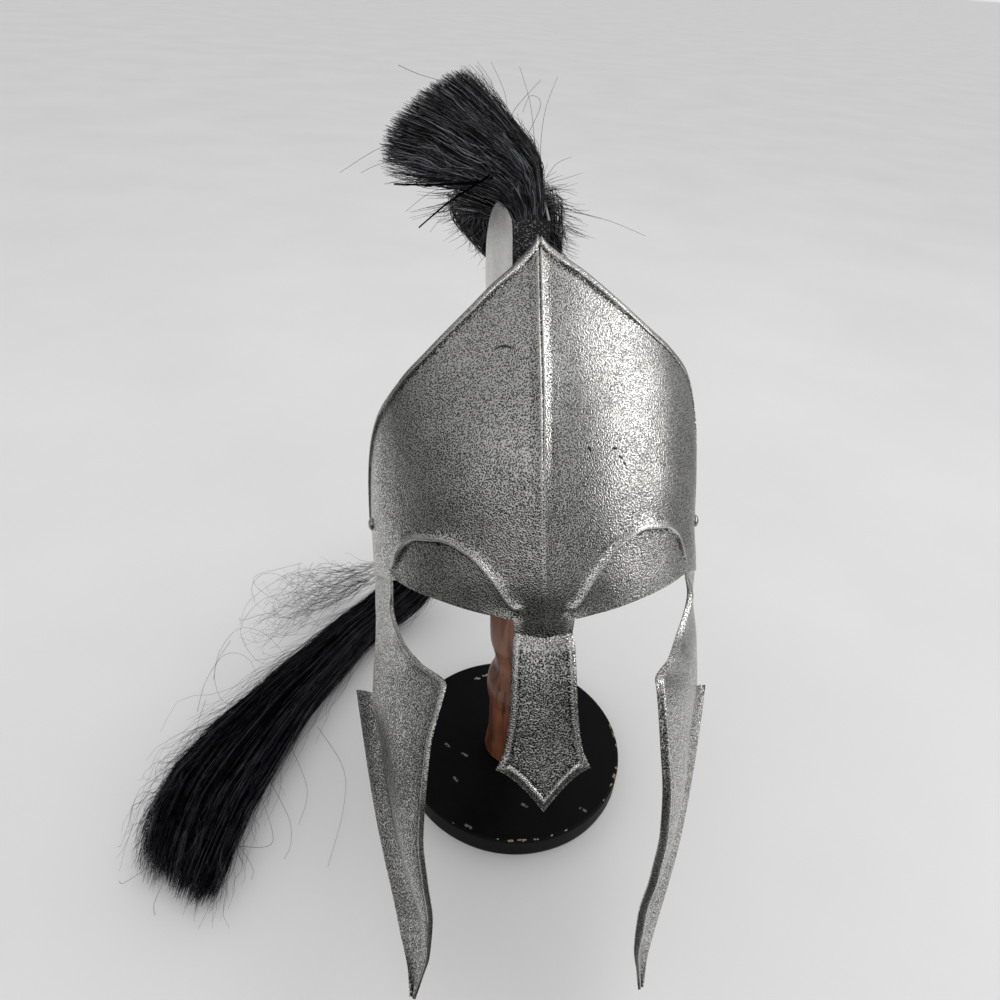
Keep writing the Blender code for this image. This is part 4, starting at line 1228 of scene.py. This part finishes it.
def hair_tree():
    """Strands laid along a guide: each starts somewhere on it, keeps its place in the bunch,
    drifts a little, gathers into locks towards its tip, and never goes below the table."""
    tree, given, end_socket = new_tree("strands_along_guide", ("Guide", "Geometry"),
                                       *((socket.name, socket.kind) for socket in STRAND_SOCKETS))
    straight = add_node(tree, "GeometryNodeCurvePrimitiveLine").outputs[0]
    stepped = chained(straight, ("ResampleCurve", ("Count", given["Points"])))
    many = add_node(tree, "GeometryNodeDuplicateElements", [(0, stepped), ("Amount", given["Strands"])],
                    domain="SPLINE").outputs[0]
    index = add_node(tree, "GeometryNodeInputIndex").outputs[0]
    strand = add_node(tree, "GeometryNodeFieldOnDomain", [("Value", index)],
                      domain="CURVE", data_type="INT").outputs[0]
    t = add_node(tree, "GeometryNodeSplineParameter").outputs["Factor"]

    def chance(low, high, salt):
        links = [(2, low), (3, high), (7, strand), (8, plus(given["Seed"], salt))]
        return add_node(tree, "FunctionNodeRandomValue", links, data_type="FLOAT").outputs[1]

    def drawn(name, salt):
        return chance(given[name + " from"], given[name + " to"], salt)

    def combine(x, y, z):
        return add_node(tree, "ShaderNodeCombineXYZ", [("X", x), ("Y", y), ("Z", z)]).outputs[0]

    def separate(vector):
        return add_node(tree, "ShaderNodeSeparateXYZ", [("Vector", vector)]).outputs

    def blended(factor, first, second, **values):
        links = [(0, factor), (4, first), (5, second)]
        return add_node(tree, "ShaderNodeMix", links, data_type="VECTOR", **values).outputs[1]

    add = vector_node("ADD")
    inner, outer = given["Reach from"], given["Reach to"]
    squared = chance(times(inner, inner), times(outer, outer), 1)
    reach = root_of(squared)
    turn = drawn("Turn", 2)
    own = combine(times(cosine(turn), reach), times(sine(turn), reach), 0.0)
    lock = add_node(tree, "ShaderNodeTexVoronoi", [("Vector", own), ("Scale", given["Locks"])],
                    voronoi_dimensions="2D").outputs["Position"]
    in_lock = blended(times(given["Gather"], raised_to(t, 1.3)), own, lock)
    splayed = times(given["Flare"], raised_to(chance(0.0, 1.0, 6), 2.0))
    split = separate(scaled(in_lock, plus(1.0, times(splayed, times(t, t)))))

    root = drawn("Root", 3)
    end = minus(given["End"], times(given["End rounding"], squared))
    end = minus(end, times(given["End scatter"], chance(0.0, 1.0, 5)))
    tip = least(plus(root, drawn("Length", 4)), end)
    at = plus(root, times(minus(tip, root), t))
    last = minus(given["Guide points"], 1.0)
    slot_at = times(at, last)
    whole = least(whole_part(slot_at), minus(last, 1.0))
    part = minus(slot_at, whole)
    following = plus(whole, 1.0)

    def on_guide(value):
        near, far = (add_node(tree, "GeometryNodeSampleIndex", [(0, given["Guide"]), (1, value), (2, number)],
                              data_type="FLOAT_VECTOR", clamp=True).outputs[0] for number in (whole, following))
        return blended(part, near, far, clamp_factor=False)

    centre = on_guide(add_node(tree, "GeometryNodeInputPosition").outputs[0])
    place = add(centre, scaled(on_guide(named_vector(tree, "side")), split["X"]))
    place = add(place, scaled(on_guide(named_vector(tree, "thick")), split["Y"]))

    def wander(pitch, amount, phase):
        ahead = combine(times(at, pitch), 0.0, 0.0)
        drifting = cloud(add(phase, ahead), 1.0, 1.0, "Color")
        return scaled(vector_node("SUBTRACT")(drifting, (0.5, 0.5, 0.5)), times(amount, plus(0.15, t)))

    place = add(place, wander(14.0, given["Drift"], vector_node("MULTIPLY")(lock, (9.0, 9.0, 9.0))))
    own_phase = combine(*(chance(0.0, 40.0, salt) for salt in (20, 21, 22)))
    apart = separate(add(place, wander(given["Curl pitch"], given["Curl"], own_phase)))
    place = combine(most(apart["X"], FARTHEST_LEFT), apart["Y"], most(apart["Z"], given["Table"]))
    # Each strand draws one value, which picks its painted highlight colour and its gloss in the hair material.
    laid = chained(many, ("SetPosition", ("Position", place)),
                   ("StoreNamedAttribute", ("Name", "tone"), ("Value", chance(0.0, 1.0, 7))))
    put(end_socket, swept(laid, given["Thickness"], minus(1.0, times(raised_to(t, 3.0), 0.6)), given["Hair"]))
    return tree


strands_along_guide = hair_tree()


def hair_strands(name, sections, **values):
    """Runs the strand tree along the cross-sections of a bunch."""
    guide = bpy.data.meshes.new(name + "_guide")
    guide.from_pydata([centre * MM for centre, side, thick in sections], [], [])
    for word, place in (("side", 1), ("thick", 2)):
        flat = [value * MM for section in sections for value in section[place]]
        guide.attributes.new(word, "FLOAT_VECTOR", "POINT").data.foreach_set("vector", flat)
    settings = {socket.name: socket.usual for socket in STRAND_SOCKETS}
    for key, value in values.items():
        key = key.replace("_", " ").capitalize()
        if isinstance(value, tuple):
            settings[key + " from"], settings[key + " to"] = value
        else:
            settings[key] = value
    settings["Guide points"] = len(sections)
    return nodes_to_mesh(name, new_piece(name + "_guide", guide), strands_along_guide, settings)


def hair_line_tree():
    """Sweeps a fine hair along every line of a mesh, rounding its bends."""
    tree, given, end = new_tree("hairs_on_lines", ("Lines", "Geometry"), ("Thickness", "Float"), ("Points", "Int"),
                                ("Hair", "Material"))
    bent = chained(given["Lines"], ("MeshToCurve",))
    rounded = add_node(tree, "GeometryNodeCurveSplineType", [(0, bent)], spline_type="CATMULL_ROM").outputs[0]
    stepped = chained(rounded, ("ResampleCurve", ("Count", given["Points"])))
    t = add_node(tree, "GeometryNodeSplineParameter").outputs["Factor"]
    put(end, swept(stepped, given["Thickness"], minus(1.0, times(t, 0.4)), given["Hair"]))
    return tree


hairs_on_lines = hair_line_tree()


def loose_hairs(name, lines, thickness, hair):
    """Single hairs through the given points, in millimetres."""
    mesh = bpy.data.meshes.new(name + "_lines")
    points = [Vector(point) * MM for line in lines for point in line]
    joins, first = [], 0
    for line in lines:
        joins += [(first + i, first + i + 1) for i in range(len(line) - 1)]
        first += len(line)
    mesh.from_pydata(points, joins, [])
    return nodes_to_mesh(name, new_piece(name + "_lines", mesh), hairs_on_lines,
                         {"Thickness": thickness, "Points": 24, "Hair": hair})


BRUSH_LOOSE = [
    [(-16, 44, 494), (5, 44, 491), (28, 43, 487), (51, 42, 480)],
    [(-80, 66, 534), (-106, 63, 522), (-124, 58, 515), (-145, 50, 502)],
    [(-80, 46, 520), (-103, 43, 514), (-118, 41, 511), (-129, 37, 506)],
    [(-17, 53, 503), (-20, 62, 522), (-19, 73, 543), (-13, 82, 561)],
    [(-110, 69, 562), (-97, 68, 558), (-81, 68, 555)], [(-42, 73, 533), (-37, 78, 543), (-23, 87, 558)],
    [(-41, 45, 512), (-43, 62, 547), (-54, 71, 567)], [(-15, 57, 507), (-9, 61, 515), (0, 64, 519)],
    [(-55, 36, 502), (-82, 34, 500), (-100, 26, 488)], [(-43, 37, 505), (-93, 41, 521), (-116, 41, 525)],
    [(-33, 69, 520), (-22, 82, 544), (-29, 84, 549), (-33, 79, 540)],
    [(-49, 32, 502), (-70, 27, 494), (-84, 18, 479)], [(-22, 64, 513), (-28, 79, 543), (-37, 89, 564)],
]
BRUSH_THICK = [
    [(-50, 35, 511), (-57, 33, 506), (-74, 27, 495), (-91, 19, 481)],
    [(-48, 38, 509), (-56, 38, 506), (-82, 35, 503), (-108, 33, 502)],
]
brush_sections = hair_sections(BRUSH_SPANS, 8, helmet_pose)
wisp_sections = hair_sections(WISP_SPANS, 8, helmet_pose)
brush_pieces = [
    hair_core("plume_brush_core", brush_sections[:BRUSH_CORE_SECTIONS], 0.80),
    hair_strands("plume_brush_hair", brush_sections, strands=2450, seed=11, reach=(0.2, 1.0), thickness=0.00048,
                 root=(0.02, 0.5), length=(0.75, 1.0), end_rounding=0.05, end_scatter=0.022, gather=0.1, locks=6.0,
                 drift=0.005, flare=0.06),
    hair_strands("plume_brush_outer_hair", brush_sections, strands=1300, seed=13, reach=(0.8, 1.04), thickness=0.0004,
                 root=(0.05, 0.6), length=(0.25, 1.0), end_rounding=0.06, end_scatter=0.07, gather=0.1, locks=4.0,
                 drift=0.009, curl=0.009, flare=0.2),
    hair_strands("plume_brush_wisps", wisp_sections, strands=190, seed=12, thickness=0.00042, root=(0.1, 0.6),
                 length=(0.3, 0.9), end_scatter=0.12, flare=0.3, curl=0.006),
    loose_hairs("plume_brush_loose_hair", BRUSH_LOOSE, 0.00036, horsehair),
    loose_hairs("plume_brush_thick_locks", BRUSH_THICK, 0.0017, under_hair),
]
for piece in brush_pieces:
    dress(piece, ["plume_brush"])

# ------------------------------------------------------------------------------------------
# Long bunch of the plume.
# The same black horsehair, half a horse's tail long.  It comes out of the back of the holder,
# hangs behind the bowl, and lies round on the table, splayed into locks, with a curly fringe.

TAIL_SPANS = table(
    "upper lower thickness",
    ((-19.2, 83, 459), (-39.2, 81, 459), 12), ((-22.3, 106, 456), (-44.3, 104, 456), 12),
    ((-25.5, 131, 464), (-49.5, 129, 464), 12), ((-2, 155, 469), (-84, 150, 469), 19),
    ((6, 190, 447), (-87, 187, 447), 20), ((8, 203, 420), (-66, 202, 418), 18),
    ((6, 209, 390), (-43, 208, 388), 16), ((-5, 212, 320), (-48, 216, 320), 18),
    ((-22.4, 208.5, 230), (-73.6, 217.5, 230), 19), ((-43, 201, 140), (-95, 217, 140), 18),
    ((-71, 185, 76), (-121, 211, 76), 17), ((-109, 154, 35), (-149, 183, 37), 17),
    ((-148, 122, 18), (-181, 148, 23), 16), ((-172, 69, 18), (-213, 93, 22), 17),
    ((-196, 7, 18), (-246, 32, 22), 18), ((-212, -61, 18), (-277, -33, 22), 19),
    ((-219, -95, 18), (-289, -74, 21), 19), ((-222, -130, 17), (-290, -106, 20), 18),
    ((-227, -180, 14), (-280, -152, 16), 14),
)
# The light grey given here is a painted highlight on a few strands.
tail_hair = black_horsehair(
    "black_horsehair_long_strands", (0.0010, 0.0010, 0.0018), (0.13, 0.132, 0.155), 0.42, 0.16, dull=0.04)
TAIL_CORE_SECTIONS = 97
# How far over the table, in metres, the lowest strands' middle lines lie.
TABLE_CLEAR = 0.0009
tail_sections = hair_sections(TAIL_SPANS, 6)
tail_pieces = [hair_core("plume_tail_core", tail_sections[:TAIL_CORE_SECTIONS], 0.80)]


def tail_strands(name, seed, strands, sections=tail_sections, on_table=True, **values):
    """Adds strands to the long bunch; those that reach the table lie on it."""
    if on_table:
        values.update(table=TABLE_CLEAR, hair=tail_hair)
    tail_pieces.append(hair_strands("plume_tail_" + name, sections, seed=seed, strands=strands, **values))


for number in (1, 2):
    tail_strands("hair_%d" % number, 20 + number, 2050, reach=(0.55, 1.0), root=(0.15, 0.9), length=(0.15, 0.4),
                 end_scatter=0.012, end_rounding=0.02, gather=0.2, locks=6.0, drift=0.012, curl=0.006, flare=0.12)
tail_strands("end_hair", 25, 1000, reach=(0.0, 1.02), points=7, root=(0.82, 0.9), length=(0.06, 0.2),
             end_scatter=0.02, end_rounding=0.02, gather=0.3, curl=0.006, flare=0.1)
tail_strands("side_locks", 28, 620, reach=(0.9, 1.2), thickness=0.0004, turn=(2.3, 4.0), root=(0.6, 0.9),
             length=(0.1, 0.3), gather=0.45, locks=7.0, drift=0.02, curl=0.008, flare=0.3)
tail_strands("bush", 27, 1100, on_table=False, reach=(0.75, 1.0), points=7, thickness=0.0004, root=(0.14, 0.31),
             length=(0.012, 0.04), gather=0.0, flare=0.8, curl=0.010, curl_pitch=60.0)
tail_strands("bush_fill", 29, 1500, on_table=False, reach=(0.75, 1.02), points=6, root=(0.09, 0.31),
             length=(0.015, 0.05), gather=0.2, flare=0.2, curl=0.006, curl_pitch=40.0)
tail_strands("side_fringe", 32, 260, reach=(0.85, 1.1), thickness=0.00034, points=20, turn=(2.4, 4.0),
             root=(0.58, 0.85), length=(0.06, 0.22), gather=0.0, flare=1.3, curl=0.06, curl_pitch=20.0)
tail_strands("fringe", 31, 500, reach=(0.85, 1.05), thickness=0.00032, points=16, root=(0.5, 0.95),
             length=(0.05, 0.2), gather=0.0, flare=0.7, curl=0.03, curl_pitch=26.0)
CLOUD_SPANS = table(
    "upper lower thickness",
    ((-150, 190, 60), (-140, 215, 60), 8), ((-180, 175, 36), (-176, 218, 34), 10),
    ((-222, 145, 24), (-222, 225, 18), 12), ((-258, 100, 18), (-262, 222, 14), 12),
    ((-288, 60, 12), (-292, 215, 10), 9),
)
tail_strands("curly_hair", 33, 90, hair_sections(CLOUD_SPANS, 8), points=26, thickness=0.00034, root=(0.0, 0.3),
             length=(0.25, 0.9), end_scatter=0.2, gather=0.0, flare=0.3, drift=0.02, curl=0.07, curl_pitch=5.0)
TAIL_LOOSE = [
    [(-262, 250, 3), (-285, 225, 12), (-305, 205, 16), (-290, 180, 18), (-239, 154, 15)],
    [(-298, 178, 3), (-306, 196, 10), (-296, 214, 14), (-268, 205, 16), (-232, 160, 15)],
    [(-306, 150, 3), (-298, 138, 12), (-270, 146, 17), (-235, 139, 15)],
    [(-304, 60, 3), (-307, 90, 12), (-296, 120, 17), (-267, 115, 18), (-238, 90, 15)],
    [(-306, 20, 3), (-307, 52, 12), (-298, 84, 16), (-272, 78, 18), (-248, 42, 15)],
    [(-307, -30, 3), (-284, 6, 10), (-253, 43, 8)], [(-307, -66, 3), (-292, -35, 12), (-276, -5, 8)],
    [(-266, 250, 3), (-256, 194, 10), (-285, 168, 16), (-293, 117, 18), (-257, 73, 18), (-235, 97, 15)],
    [(-250, 252, 3), (-244, 217, 14), (-210, 173, 18), (-196, 187, 15)],
    [(-305, 116, 3), (-303, 66, 14), (-281, 24, 18), (-257, 22, 15)],
    [(-303, 35, 3), (-291, -17, 17), (-271, -32, 15)],
    [(-215, 250, 3), (-239, 235, 14), (-243, 170, 18), (-215, 137, 15)],
    [(-213, 252, 3), (-267, 214, 14), (-297, 164, 18), (-297, 128, 15)],
    [(-187, 13, 3), (-153, -31, 5), (-144, -72, 5), (-146, -124, 3)],
    [(-214, -52, 8), (-188, -85, 4), (-181, -107, 3), (-183, -120, 3)],
    [(-207, -12, 8), (-180, -55, 4), (-179, -89, 3)], [(-231, -105, 8), (-207, -128, 4), (-204, -139, 3)],
    [(-306, -148, 3), (-300, -152, 8), (-286, -139, 9)], [(-268, -172, 3), (-271, -165, 6), (-270, -148, 8)],
    [(-221, -115, 8), (-196, -107, 4), (-217, -68, 8)],
]
tail_pieces.append(loose_hairs("plume_tail_loose_hair", TAIL_LOOSE, 0.00038, tail_hair))
for piece in tail_pieces:
    dress(piece, ["plume_tail"])
